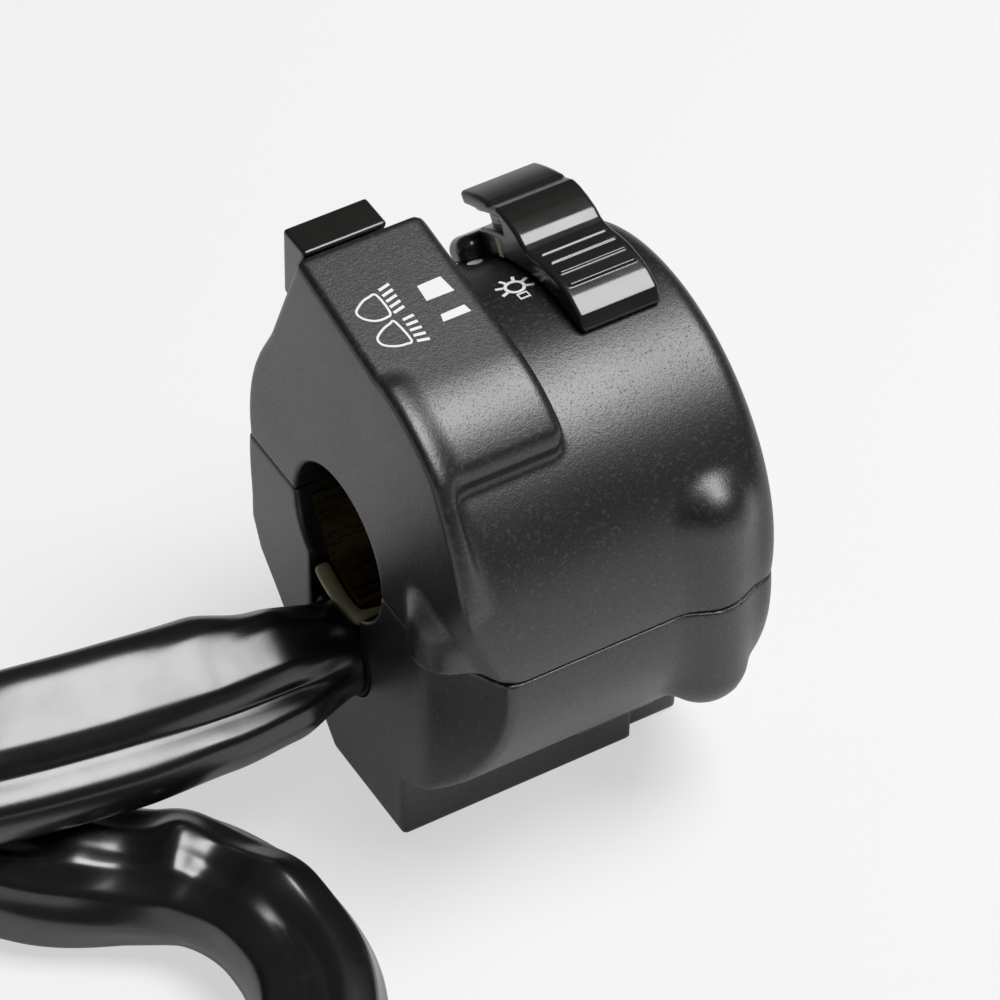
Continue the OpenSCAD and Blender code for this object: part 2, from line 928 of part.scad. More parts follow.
// Wedge-shaped knob with its neck through the rear face
module dimmer_knob() {
    lean = [-sin(rear_slope), -cos(rear_slope)];
    top_in = [slide_gap, -slide_gap * tan(rear_slope)];
    top_out = dimmer_deep * [cos(rear_slope), -sin(rear_slope)];
    low_out = top_out + dimmer_h * lean;
    color("#2b2a27")
        on_rear_face() {
            along_x(dimmer_x - dimmer_w / 2, dimmer_x + dimmer_w / 2)
                polygon([[slide_gap, low_out[1]], low_out, top_out, top_in]);
            block_of(
                [dimmer_x - dimmer_neck_w / 2, dimmer_face, dimmer_neck_top - dimmer_neck_len],
                [dimmer_x + dimmer_neck_w / 2, slide_gap + 0.5, dimmer_neck_top]
            );
        }
}

module dimmer_slider() {
    color("#d8d2c0")
        on_rear_face()
            difference() {
                block_of(
                    [dimmer_x - dimmer_slider_w / 2, dimmer_inside, dimmer_slider_top - dimmer_slider_len],
                    [dimmer_x + dimmer_slider_w / 2, dimmer_face, dimmer_slider_top]
                );
                dimmer_ball_hole();
            }
}

module dimmer_ball_hole() {
    translate([dimmer_ball_x, dimmer_face - 0.4, dimmer_ball_z])
        rotate([90, 0, 0])
            cylinder(r = ball_hole_r, h = far);
}

module dimmer_contact() {
    color("#b87333")
        on_rear_face()
            block_of(
                [dimmer_x - 3.4, dimmer_contact_in, dimmer_neck_top - 3.4],
                [dimmer_x + 1.4, dimmer_inside, dimmer_neck_top - 0.6]
            );
}

module dimmer_terminals() {
    color("#c8a848")
        on_rear_face()
            for (z = [dimmer_neck_top - 4.2, dimmer_neck_top - 4.4 - dimmer_travel])
                block_of(
                    [dimmer_x - 3.4, dimmer_base_face, z],
                    [dimmer_x + 1.4, dimmer_terminal_out, z + 3.6]
                );
}

// Insulating base on the inboard end wall
module dimmer_base() {
    color("#8a5a34")
        on_rear_face()
            block_of(
                [end_wall, dimmer_base_face - base_t, dimmer_slider_top - dimmer_slider_len - dimmer_travel],
                [block_len - wall - 1.5, dimmer_base_face, dimmer_slider_top - 0.6]
            );
}

dimmer_ball_y = dimmer_base_face + ball_r + 0.1;

module dimmer_detent_ball() {
    color("#c0c4c8")
        on_rear_face()
            translate([dimmer_ball_x, dimmer_ball_y, dimmer_ball_z])
                sphere(ball_r);
}

module dimmer_detent_spring() {
    start = dimmer_ball_y + ball_r;
    color("#9aa0a6")
        on_rear_face()
            translate([dimmer_ball_x, start, dimmer_ball_z])
                rotate([-90, 0, 0])
                    detent_spring(dimmer_face - 0.4 - start);
}

// Finger piece of the turn-signal slide
module turn_knob() {
    half = turn_w / 2;
    foot = drum_y + drum_r + slide_gap;
    color("#2b2a27") {
        translate([turn_x, foot, turn_z - turn_h / 2])
            linear_extrude(turn_h)
                polygon([
                    [-half, 0], [half, 0], [half, 1.6], [2.8, 2.4],
                    [1.8, 5.8], [-1.8, 5.8], [-2.8, 2.4], [-half, 1.6]
                ]);
        block_of(
            [turn_x - turn_neck_w / 2, carriage_back, turn_z - turn_neck_h / 2],
            [turn_x + turn_neck_w / 2, foot + 0.5, turn_z + turn_neck_h / 2]
        );
    }
}

module turn_ball_hole() {
    translate([turn_ball_x, carriage_back - 0.4, turn_ball_z])
        rotate([90, 0, 0])
            cylinder(r = ball_hole_r, h = far);
}

module turn_carriage() {
    color("#d8d2c0")
        difference() {
            block_of(
                [turn_x - carriage_half, carriage_front, turn_z - carriage_h / 2],
                [turn_x + carriage_half, carriage_back, turn_z + carriage_h / 2]
            );
            turn_ball_hole();
        }
}

module turn_contact() {
    color("#b87333")
        block_of(
            [turn_x - turn_contact_half, turn_contact_front, turn_z - 3],
            [turn_x + turn_contact_half, carriage_front, turn_z + 1]
        );
}

module turn_terminals() {
    color("#c8a848")
        for (i = [-1:1])
            translate([turn_x + i * turn_terminal_step, 0, 0])
                block_of(
                    [-turn_terminal_w / 2, turn_base_back, turn_z - 4],
                    [turn_terminal_w / 2, turn_terminal_back, turn_z]
                );
}

// Insulating base, held off the rear panel by a post at either end
module turn_base() {
    low = turn_z - turn_base_h / 2;
    high = turn_z + turn_base_h / 2;
    color("#8a5a34") {
        block_of([turn_start, turn_base_front, low], [turn_end, turn_base_back, high]);
        block_of([turn_start, turn_base_back - 0.1, low], [turn_start + turn_post_t, turn_inside, high]);
        block_of([turn_end - turn_post_t, turn_base_back - 0.1, low], [turn_end, turn_inside, high]);
    }
}

turn_ball_y = turn_base_back + ball_r + 0.1;

module turn_detent_ball() {
    color("#c0c4c8")
        translate([turn_ball_x, turn_ball_y, turn_ball_z])
            sphere(ball_r);
}

module turn_detent_spring() {
    start = turn_ball_y + ball_r;
    color("#9aa0a6")
        translate([turn_ball_x, start, turn_ball_z])
            rotate([-90, 0, 0])
                detent_spring(carriage_back - 0.4 - start);
}

// Round push button with a flange inside the wall
module horn_button() {
    color("#2b2a27")
        on_horn_face() {
            rod_z(horn_r - slide_gap, horn_flange_out - 0.1, horn_out - 0.8);
            rod_z(horn_r - slide_gap - 0.8, 0, horn_out);
            rod_z(horn_flange_r, horn_flange_in, horn_flange_out);
            rod_z(1.6, horn_flange_in - horn_stem_len, horn_flange_in + 0.1);
        }
}

module horn_bezel() {
    color("#2b2a27")
        on_horn_face()
            difference() {
                rod_z(horn_r + horn_bezel_w, 0, horn_bezel_h);
                rod_z(horn_r + seat_gap, -1, horn_bezel_h + 1);
            }
}

module horn_contact() {
    color("#b87333")
        on_horn_face()
            rod_z(2.6, horn_flange_in - horn_stem_len - strip_t, horn_flange_in - horn_stem_len);
}

module horn_terminals() {
    color("#c8a848")
        on_horn_face()
            for (side = [-1, 1])
                translate([side * 1.5, 0, horn_base_out + strip_t / 2])
                    cube([1.8, 4, strip_t], center = true);
}

// Insulating base, held off the sloping wall by two posts
module horn_base() {
    color("#8a5a34")
        on_horn_face() {
            translate([0, 0, horn_base_out - base_t / 2])
                cube([horn_base_w, horn_base_h, base_t], center = true);
            for (side = [-1, 1])
                rod_z(horn_post_r, horn_base_out - 0.1, -wall, side * horn_post_x);
        }
}

module horn_spring() {
    color("#9aa0a6")
        on_horn_face()
            translate([0, 0, horn_base_out])
                coil_spring(4, horn_spring_len, spring_wire, 4);
}

// Rubber bush round the wires, trimmed clear of the bar
module grommet() {
    color("#1a1a1a")
        difference() {
            union() {
                rod_x(grommet_r, 0, grommet_len, harness_y, -harness_drop);
                rod_x(grommet_r - grommet_flange, grommet_len - 0.1, grommet_len, harness_y, -harness_drop);
            }
            rod_x(grommet_trim, -1, far);
        }
}

// Angled steel tab under the wires, screwed to the inboard end wall
module cable_clamp() {
    top = -harness_drop - grommet_r - slide_gap;
    color("#b8a24a")
        difference() {
            union() {
                block_of(
                    [end_wall, clamp_y - clamp_w / 2, clamp_screw_z - clamp_foot],
                    [end_wall + clamp_t, clamp_y + clamp_w / 2, top]
                );
                block_of(
                    [end_wall, clamp_y - clamp_w / 2, top - clamp_t],
                    [end_wall + clamp_len, clamp_y + clamp_w / 2, top]
                );
            }
            rod_x(clamp_screw_r + seat_gap, 0, far, clamp_y, clamp_screw_z);
        }
}

module clamp_screw() {
    color("#b8a24a") {
        rod_x(clamp_screw_r - seat_gap, 1, end_wall + clamp_t + 0.1, clamp_y, clamp_screw_z);
        rod_x(2.4, end_wall + clamp_t, end_wall + clamp_t + 1.6, clamp_y, clamp_screw_z);
    }
}

// A tube of radius r swept along a list of points
module swept_tube(route, r, sides, up) {
    last = len(route) - 1;
    points = [
        for (i = [0:last])
            let (
                ahead = unit(route[min(i + 1, last)] - route[max(i - 1, 0)]),
                across = unit(cross(up, ahead)),
                over = cross(ahead, across)
            )
            for (k = [0:sides - 1])
                let (a = 360 * (k + 0.5) / sides)
                route[i] + r * (across * cos(a) + over * sin(a)) / cos(180 / sides)
    ];
    polyhedron(points, tube_faces(last, sides));
}

module wires() {
    color("#d9d2b0")
        union() {
            for (route = [turn_wire, horn_wire, light_wire, dimmer_wire])
                swept_tube(route, wire_d / 2, wire_sides, [0.9, 0.1, 0.42]);
            swept_tube(mouth_wire, mouth_wire_d / 2, wire_sides, [0.3, 0, -1]);
        }
}

module harness_sleeve() {
    color("#101012")
        swept_tube(sleeve_route, sleeve_d / 2, sleeve_sides, [0, 0, 1]);
}

// Connector lying on the table at the sleeve's far end
sleeve_end = sleeve_route[len(sleeve_route) - 1];
sleeve_last = sleeve_end - sleeve_route[len(sleeve_route) - 2];
connector_pins = 3;
connector_pitch = 5;
connector_hole = 2.4;

module at_sleeve_end() {
    translate([sleeve_end[0], sleeve_end[1], -box_depth])
        rotate([0, 0, atan2(sleeve_last[1], sleeve_last[0])])
            children();
}

module connector_cells() {
    middle = (connector_pins - 1) / 2;
    for (row = [-0.5, 0.5], i = [0:connector_pins - 1])
        translate([0, (i - middle) * connector_pitch, connector_h / 2 + row * connector_pitch])
            children();
}

module connector() {
    color("#ece8dc")
        at_sleeve_end()
            difference() {
                union() {
                    block_of([0, -connector_w / 2, 0], [connector_len, connector_w / 2, connector_h]);
                    block_of([6, -3, 0], [connector_len - 4, 3, connector_h + 1.4]);
                }
                connector_cells()
                    block_of(
                        [connector_len - 10, -connector_hole / 2, -connector_hole / 2],
                        [connector_len + 1, connector_hole / 2, connector_hole / 2]
                    );
            }
}

module connector_terminals() {
    half = connector_hole / 2 - seat_gap;
    open_half = half - 0.4;
    color("#c8a848")
        at_sleeve_end()
            connector_cells()
                difference() {
                    block_of([connector_len - 10, -half, -half], [connector_len - 1.5, half, half]);
                    block_of([connector_len - 8, -open_half, -open_half], [connector_len, open_half, open_half]);
                }
}

upper_housing();
lower_housing();
housing_screws();
bar_saddle();
light_lever();
light_slider();
light_contact();
light_base();
light_terminals();
light_detent_ball();
light_detent_spring();
dimmer_knob();
dimmer_slider();
dimmer_contact();
dimmer_base();
dimmer_terminals();
dimmer_detent_ball();
dimmer_detent_spring();
turn_knob();
turn_carriage();
turn_contact();
turn_base();
turn_terminals();
turn_detent_ball();
turn_detent_spring();
horn_button();
horn_bezel();
horn_contact();
horn_base();
horn_terminals();
horn_spring();
grommet();
cable_clamp();
clamp_screw();
wires();
harness_sleeve();
connector();
connector_terminals();
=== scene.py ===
import bpy
import json
import math
import numpy as np
from mathutils import Matrix, Vector


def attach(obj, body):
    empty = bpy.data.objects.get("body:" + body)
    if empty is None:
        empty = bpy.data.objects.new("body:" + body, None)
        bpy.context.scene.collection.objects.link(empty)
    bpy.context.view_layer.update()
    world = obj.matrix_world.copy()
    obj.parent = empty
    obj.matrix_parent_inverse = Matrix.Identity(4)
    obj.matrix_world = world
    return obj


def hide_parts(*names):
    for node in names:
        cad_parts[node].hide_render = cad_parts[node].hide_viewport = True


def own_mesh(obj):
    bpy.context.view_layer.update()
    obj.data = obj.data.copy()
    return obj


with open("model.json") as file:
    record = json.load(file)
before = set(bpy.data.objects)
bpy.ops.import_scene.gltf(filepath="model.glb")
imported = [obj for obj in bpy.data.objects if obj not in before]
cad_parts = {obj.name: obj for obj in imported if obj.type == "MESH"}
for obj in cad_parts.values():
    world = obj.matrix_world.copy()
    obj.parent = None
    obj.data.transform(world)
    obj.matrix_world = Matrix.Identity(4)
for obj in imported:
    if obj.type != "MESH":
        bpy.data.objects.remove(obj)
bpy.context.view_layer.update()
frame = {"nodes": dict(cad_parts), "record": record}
nodes = frame["nodes"]
mm = 0.001
print("stage: frame loaded,", len(nodes), "nodes")

# camera: left-hand cluster seen from the front and inboard, looking down; angles in degrees
cameraSettings = {
    "place": (-268.429, -478.478, 556.659),
    "heading": 31.5,
    "pitch": 45.0,
    "roll": 1.0,
    "lens": 216.0,
    "sensor": 36.0,
    "clip": (0.01, 50.0),
}


def makeCamera(s):
    data = bpy.data.cameras.new("camera")
    data.lens = s["lens"]
    data.sensor_width = s["sensor"]
    data.clip_start, data.clip_end = s["clip"]
    cam = bpy.data.objects.new("camera", data)
    bpy.context.scene.collection.objects.link(cam)
    heading, pitch, roll = [math.radians(s[k]) for k in ("heading", "pitch", "roll")]
    level = Vector((math.cos(heading), -math.sin(heading), 0.0))
    toward = Vector((-math.sin(heading), -math.cos(heading), 0.0))
    back = toward * math.cos(pitch) + Vector((0.0, 0.0, math.sin(pitch)))
    right = level * math.cos(roll) + back.cross(level) * math.sin(roll)
    m = Matrix((right, back.cross(right), back)).transposed().to_4x4()
    m.translation = Vector(s["place"]) * mm
    cam.matrix_world = m
    bpy.context.scene.camera = cam


makeCamera(cameraSettings)
bpy.context.scene.view_settings.view_transform = "Standard"
print("stage: camera")


# shader groups: each puts out only what changes over the surface
def newGroup(name, inputs, outputs):
    g = bpy.data.node_groups.new(name, "ShaderNodeTree")
    for label, value in inputs:
        sock = g.interface.new_socket(label, in_out="INPUT", socket_type="NodeSocketFloat")
        sock.default_value = value
    for label in outputs:
        g.interface.new_socket(label, in_out="OUTPUT", socket_type="NodeSocketFloat")
    return g, g.nodes.new("NodeGroupInput"), g.nodes.new("NodeGroupOutput")


def addMath(tree, op, a, b=None, clamp=False):
    n = tree.nodes.new("ShaderNodeMath")
    n.operation = op
    n.use_clamp = clamp
    for i, v in enumerate((a, b)):
        if v is None:
            continue
        if isinstance(v, (int, float)):
            n.inputs[i].default_value = v
        else:
            tree.links.new(v, n.inputs[i])
    return n.outputs[0]


def addNoise(tree, place, scale, detail=2.0, rough=0.5):
    n = tree.nodes.new("ShaderNodeTexNoise")
    n.inputs["Detail"].default_value = detail
    n.inputs["Roughness"].default_value = rough
    tree.links.new(place, n.inputs["Vector"])
    tree.links.new(scale, n.inputs["Scale"])
    return n.outputs["Fac"]


def addRange(tree, value, low, high, toLow=0.0, toHigh=1.0):
    n = tree.nodes.new("ShaderNodeMapRange")
    tree.links.new(value, n.inputs["Value"])
    for label, v in (("From Min", low), ("From Max", high), ("To Min", toLow), ("To Max", toHigh)):
        n.inputs[label].default_value = v
    return n.outputs["Result"]


def objectPlace(tree, stretch=None, turn=(0.0, 0.0, 0.0)):
    place = tree.nodes.new("ShaderNodeTexCoord").outputs["Object"]
    if stretch is None:
        return place
    n = tree.nodes.new("ShaderNodeMapping")
    n.inputs["Scale"].default_value = stretch
    n.inputs["Rotation"].default_value = turn
    tree.links.new(place, n.inputs["Vector"])
    return n.outputs["Vector"]


# noises as detail and roughness, spans as the noise values that give 0 and 1
grainSettings = {
    "fine": (3.0, 0.6), "coarse": (2.0, 0.5), "coarseShare": 0.45, "patches": (3.0, 0.55),
    "pitSpan": (0.44, 0.3), "grainSpan": (0.56, 0.72), "fineHeight": 0.6, "coarseHeight": 0.4,
}
handlingSettings = {
    "patches": (4.0, 0.6), "lines": (2.0, 0.5), "lineSpan": (0.66, 0.74),
    "stretch": (0.06, 1.0, 1.0), "turn": (0.0, 0.3, 0.5),
}
rolledSettings = {"streaks": (3.0, 0.6), "clouds": (3.0, 0.5), "stretch": (0.04, 1.0, 1.0)}
noiseSpan = (0.3, 0.7)  # most of a noise lies here


def makeGrain(s):
    # fine mould texture: dark pits, pale grains and a slow change of tone
    g, gi, go = newGroup("mouldGrain", [("Grain Scale", 2600.0), ("Patch Scale", 60.0)],
                         ["Pits", "Grains", "Patches", "Height"])
    place = objectPlace(g)
    fine = addNoise(g, place, gi.outputs["Grain Scale"], *s["fine"])
    coarseScale = addMath(g, "MULTIPLY", gi.outputs["Grain Scale"], s["coarseShare"])
    coarse = addNoise(g, place, coarseScale, *s["coarse"])
    g.links.new(addRange(g, fine, *s["pitSpan"]), go.inputs["Pits"])
    g.links.new(addRange(g, coarse, *s["grainSpan"]), go.inputs["Grains"])
    g.links.new(addNoise(g, place, gi.outputs["Patch Scale"], *s["patches"]), go.inputs["Patches"])
    height = addMath(g, "ADD", addMath(g, "MULTIPLY", fine, s["fineHeight"]),
                     addMath(g, "MULTIPLY", coarse, s["coarseHeight"]))
    g.links.new(height, go.inputs["Height"])
    return g


def makeHandling(s):
    # handling marks: soft patches and thin hairlines
    g, gi, go = newGroup("handling", [("Patch Scale", 90.0), ("Line Scale", 500.0)], ["Patches", "Hairlines"])
    g.links.new(addNoise(g, objectPlace(g), gi.outputs["Patch Scale"], *s["patches"]), go.inputs["Patches"])
    lines = addNoise(g, objectPlace(g, s["stretch"], s["turn"]), gi.outputs["Line Scale"], *s["lines"])
    g.links.new(addRange(g, lines, *s["lineSpan"]), go.inputs["Hairlines"])
    return g


def makeRolled(s):
    # rolled sheet metal: streaks along X and cloudy plating
    g, gi, go = newGroup("rolledMetal", [("Streak Scale", 900.0), ("Cloud Scale", 120.0)],
                         ["Streaks", "Clouds"])
    streaks = addNoise(g, objectPlace(g, s["stretch"]), gi.outputs["Streak Scale"], *s["streaks"])
    g.links.new(streaks, go.inputs["Streaks"])
    g.links.new(addNoise(g, objectPlace(g), gi.outputs["Cloud Scale"], *s["clouds"]), go.inputs["Clouds"])
    return g


grainGroup = makeGrain(grainSettings)
handlingGroup = makeHandling(handlingSettings)
rolledGroup = makeRolled(rolledSettings)


def useGroup(tree, group, **values):
    n = tree.nodes.new("ShaderNodeGroup")
    n.node_tree = group
    for label, v in values.items():
        n.inputs[label.replace("_", " ")].default_value = v
    return n


def mixColour(tree, fac, a, b):
    n = tree.nodes.new("ShaderNodeMix")
    n.data_type = "RGBA"
    tree.links.new(fac, n.inputs["Factor"])
    for label, v in (("A", a), ("B", b)):
        sock = [i for i in n.inputs if i.name == label and i.type == "RGBA"][0]
        if isinstance(v, (tuple, list)):
            sock.default_value = (*v, 1.0)
        else:
            tree.links.new(v, sock)
    return [o for o in n.outputs if o.type == "RGBA"][0]


def newMaterial(name):
    mat = bpy.data.materials.new(name)
    mat.use_nodes = True
    return mat, mat.node_tree, mat.node_tree.nodes["Principled BSDF"]


def addBump(tree, shader, height, strength, depth):
    b = tree.nodes.new("ShaderNodeBump")
    b.inputs["Strength"].default_value = strength
    b.inputs["Distance"].default_value = depth
    tree.links.new(height, b.inputs["Height"])
    tree.links.new(b.outputs["Normal"], shader.inputs["Normal"])


def mouldedPlastic(name, s):
    mat, tree, shader = newMaterial(name)
    g = useGroup(tree, grainGroup, Grain_Scale=s["grainScale"], Patch_Scale=s["patchScale"])
    base = mixColour(tree, g.outputs["Patches"], s["colour"], s["worn"])
    base = mixColour(tree, addMath(tree, "MULTIPLY", g.outputs["Pits"], s["pitShare"]), base, s["pit"])
    base = mixColour(tree, addMath(tree, "MULTIPLY", g.outputs["Grains"], s["grainShare"]), base, s["grain"])
    tree.links.new(base, shader.inputs["Base Color"])
    rough = addRange(tree, g.outputs["Patches"], *noiseSpan, *s["rough"])
    pitRough = addMath(tree, "MULTIPLY", g.outputs["Pits"], s["pitRough"])
    tree.links.new(addMath(tree, "ADD", rough, pitRough, clamp=True), shader.inputs["Roughness"])
    shader.inputs["Specular IOR Level"].default_value = s["specular"]
    addBump(tree, shader, g.outputs["Height"], *s["bump"])
    return mat


def handledPlastic(name, s):
    mat, tree, shader = newMaterial(name)
    h = useGroup(tree, handlingGroup, Patch_Scale=s["patchScale"], Line_Scale=s["lineScale"])
    base = mixColour(tree, h.outputs["Patches"], s["colour"], s["worn"])
    base = mixColour(tree, addMath(tree, "MULTIPLY", h.outputs["Hairlines"], s["lineShare"]), base, s["line"])
    tree.links.new(base, shader.inputs["Base Color"])
    rough = addRange(tree, h.outputs["Patches"], *noiseSpan, *s["rough"])
    tree.links.new(rough, shader.inputs["Roughness"])
    shader.inputs["Specular IOR Level"].default_value = s["specular"]
    addBump(tree, shader, h.outputs["Patches"], *s["bump"])
    return mat


sheetBump = (0.15, 0.00004)  # strength, and depth in metres


def metalSheet(name, s):
    mat, tree, shader = newMaterial(name)
    b = useGroup(tree, rolledGroup, Streak_Scale=s["streakScale"], Cloud_Scale=s["cloudScale"])
    base = mixColour(tree, addRange(tree, b.outputs["Clouds"], *noiseSpan), s["colour"], s["cloud"])
    tree.links.new(base, shader.inputs["Base Color"])
    rough = addRange(tree, b.outputs["Streaks"], *noiseSpan, *s["rough"])
    tree.links.new(rough, shader.inputs["Roughness"])
    shader.inputs["Metallic"].default_value = 1.0
    addBump(tree, shader, b.outputs["Streaks"], *sheetBump)
    return mat


shellPlastic = mouldedPlastic("shellPlastic", {
    "colour": (0.008, 0.0083, 0.0096), "worn": (0.012, 0.0124, 0.0140), "pit": (0.001, 0.001, 0.0013),
    "grain": (0.075, 0.078, 0.088), "pitShare": 0.8, "grainShare": 0.4, "grainScale": 3600.0,
    "patchScale": 45.0, "rough": (0.34, 0.40), "pitRough": 0.25, "specular": 0.9, "bump": (0.5, 0.0001),
})
controlPlastic = handledPlastic("controlPlastic", {
    "colour": (0.011, 0.0104, 0.0092), "worn": (0.016, 0.0150, 0.0132), "line": (0.045, 0.043, 0.039),
    "lineShare": 0.2, "patchScale": 140.0, "lineScale": 700.0, "rough": (0.2, 0.28), "specular": 0.8,
    "bump": (0.1, 0.00015),
})
sleeveVinyl = handledPlastic("sleeveVinyl", {
    "colour": (0.007, 0.007, 0.008), "worn": (0.011, 0.011, 0.0125), "line": (0.03, 0.03, 0.033),
    "lineShare": 0.25, "patchScale": 70.0, "lineScale": 420.0, "rough": (0.2, 0.3), "specular": 0.9,
    "bump": (0.12, 0.0004),
})
bushRubber = mouldedPlastic("bushRubber", {
    "colour": (0.010, 0.010, 0.011), "worn": (0.016, 0.016, 0.017), "pit": (0.004, 0.004, 0.004),
    "grain": (0.03, 0.03, 0.03), "pitShare": 0.5, "grainShare": 0.2, "grainScale": 1800.0, "patchScale": 90.0,
    "rough": (0.6, 0.75), "pitRough": 0.1, "specular": 0.4, "bump": (0.3, 0.0001),
})
wireJacket = handledPlastic("wireJacket", {
    "colour": (0.66, 0.60, 0.38), "worn": (0.56, 0.49, 0.28), "line": (0.75, 0.71, 0.52), "lineShare": 0.3,
    "patchScale": 260.0, "lineScale": 900.0, "rough": (0.3, 0.42), "specular": 0.5, "bump": (0.1, 0.0001),
})
phenolicBase = mouldedPlastic("phenolicBase", {
    "colour": (0.20, 0.095, 0.04), "worn": (0.26, 0.13, 0.055), "pit": (0.10, 0.045, 0.02),
    "grain": (0.36, 0.21, 0.10), "pitShare": 0.5, "grainShare": 0.35, "grainScale": 1500.0,
    "patchScale": 120.0, "rough": (0.5, 0.62), "pitRough": 0.1, "specular": 0.45, "bump": (0.2, 0.0001),
})
carrierNylon = handledPlastic("carrierNylon", {
    "colour": (0.66, 0.61, 0.49), "worn": (0.60, 0.54, 0.41), "line": (0.74, 0.70, 0.60), "lineShare": 0.3,
    "patchScale": 160.0, "lineScale": 800.0, "rough": (0.4, 0.52), "specular": 0.5, "bump": (0.1, 0.0001),
})
connectorNylon = handledPlastic("connectorNylon", {
    "colour": (0.74, 0.71, 0.62), "worn": (0.68, 0.64, 0.53), "line": (0.80, 0.78, 0.72), "lineShare": 0.25,
    "patchScale": 110.0, "lineScale": 600.0, "rough": (0.34, 0.46), "specular": 0.5, "bump": (0.1, 0.0001),
})
printWhite = handledPlastic("printWhite", {
    "colour": (0.92, 0.92, 0.91), "worn": (0.86, 0.86, 0.85), "line": (0.78, 0.78, 0.78), "lineShare": 0.2,
    "patchScale": 500.0, "lineScale": 1500.0, "rough": (0.45, 0.55), "specular": 0.5, "bump": (0.1, 0.00005),
})
printCream = handledPlastic("printCream", {
    "colour": (0.90, 0.88, 0.58), "worn": (0.84, 0.82, 0.52), "line": (0.70, 0.68, 0.44), "lineShare": 0.2,
    "patchScale": 500.0, "lineScale": 1500.0, "rough": (0.45, 0.55), "specular": 0.5, "bump": (0.1, 0.00005),
})
zincPlate = metalSheet("zincPlate", {
    "colour": (0.62, 0.50, 0.22), "cloud": (0.66, 0.46, 0.30), "streakScale": 900.0, "cloudScale": 150.0,
    "rough": (0.22, 0.36),
})
copperStrip = metalSheet("copperStrip", {
    "colour": (0.72, 0.40, 0.22), "cloud": (0.66, 0.34, 0.18), "streakScale": 1200.0, "cloudScale": 260.0,
    "rough": (0.22, 0.36),
})
brassTerminal = metalSheet("brassTerminal", {
    "colour": (0.74, 0.58, 0.26), "cloud": (0.68, 0.50, 0.22), "streakScale": 1200.0, "cloudScale": 260.0,
    "rough": (0.22, 0.34),
})
springSteel = metalSheet("springSteel", {
    "colour": (0.52, 0.53, 0.55), "cloud": (0.46, 0.47, 0.49), "streakScale": 1500.0, "cloudScale": 400.0,
    "rough": (0.2, 0.32),
})
slotMaterials = {
    "housing": shellPlastic, "control": controlPlastic, "zinc": zincPlate, "insulator": phenolicBase,
    "carrier": carrierNylon, "contact": copperStrip, "terminal": brassTerminal, "spring_steel": springSteel,
    "rubber": bushRubber, "wire": wireJacket, "sleeve": sleeveVinyl, "connector": connectorNylon,
}
for row in frame["record"]["subparts"]:
    piece = nodes[row["node"]]
    piece.data.materials.clear()
    piece.data.materials.append(slotMaterials[row["material_slot"]])
print("stage: finishes")


# a piece as one mesh object, from points in mm
def addPiece(name, points, faces, material, body, replaced=(), sharp=None):
    mesh = bpy.data.meshes.new(name)
    points = np.asarray(points, np.float32) * mm
    faces = np.asarray(faces, np.int32)
    mesh.vertices.add(len(points))
    mesh.vertices.foreach_set("co", points.ravel())
    mesh.loops.add(faces.size)
    mesh.loops.foreach_set("vertex_index", faces.ravel())
    mesh.polygons.add(len(faces))
    mesh.polygons.foreach_set("loop_start", np.arange(len(faces), dtype=np.int32) * faces.shape[1])
    mesh.polygons.foreach_set("loop_total", np.full(len(faces), faces.shape[1], np.int32))
    mesh.update(calc_edges=True)
    mesh.validate()
    mesh.polygons.foreach_set("use_smooth", np.ones(len(mesh.polygons), bool))
    if sharp:
        mesh.set_sharp_from_angle(angle=math.radians(sharp))
    mesh.materials.append(material)
    obj = bpy.data.objects.new(name, mesh)
    bpy.context.scene.collection.objects.link(obj)
    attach(obj, body)
    if replaced:
        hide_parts(*replaced)
    return obj


def smoothLine(points, steps):
    # rounded line through the points, with so many steps to each span
    p = np.asarray(points, float)
    ends = np.vstack([2 * p[0] - p[1], p, 2 * p[-1] - p[-2]])
    t = (np.arange(steps) / steps)[:, None]
    out = []
    for a, b, c, d in zip(ends, ends[1:], ends[2:], ends[3:]):
        out.append(0.5 * (2 * b + (c - a) * t + (2 * a - 5 * b + 4 * c - d) * t ** 2
                          + (3 * b - a - 3 * c + d) * t ** 3))
    return np.vstack(out + [p[-1:]])


def alongLine(line):
    return np.concatenate([[0], np.cumsum(np.linalg.norm(np.diff(line, axis=0), axis=1))])


def tubeMesh(line, radius, sides, up=(0.0, 0.0, 1.0)):
    # closed tube: radius may change along the line and round it, angle 0 points across, 90 degrees up
    ahead = np.gradient(line, axis=0)
    ahead /= np.linalg.norm(ahead, axis=1)[:, None]
    across = np.cross(up, ahead)
    across /= np.linalg.norm(across, axis=1)[:, None]
    over = np.cross(ahead, across)
    angle = np.arange(sides) * 2 * math.pi / sides
    radius = np.broadcast_to(radius, (len(line), sides))
    spoke = across[:, None] * np.cos(angle)[None, :, None] + over[:, None] * np.sin(angle)[None, :, None]
    rings = line[:, None] + radius[:, :, None] * spoke
    rows = len(line)
    points = np.vstack([rings.reshape(-1, 3), line[:1], line[-1:]])
    i, k = np.meshgrid(np.arange(rows - 1), np.arange(sides), indexing="ij")
    a, b = (i * sides + k).ravel(), (i * sides + (k + 1) % sides).ravel()
    k = np.arange(sides)
    end = (rows - 1) * sides
    middle = np.full(sides, rows * sides)
    faces = np.vstack([
        np.stack([a, b, b + sides], axis=1),
        np.stack([a, b + sides, a + sides], axis=1),
        np.stack([(k + 1) % sides, k, middle], axis=1),
        np.stack([end + k, end + (k + 1) % sides, middle + 1], axis=1),
    ])
    return points, faces


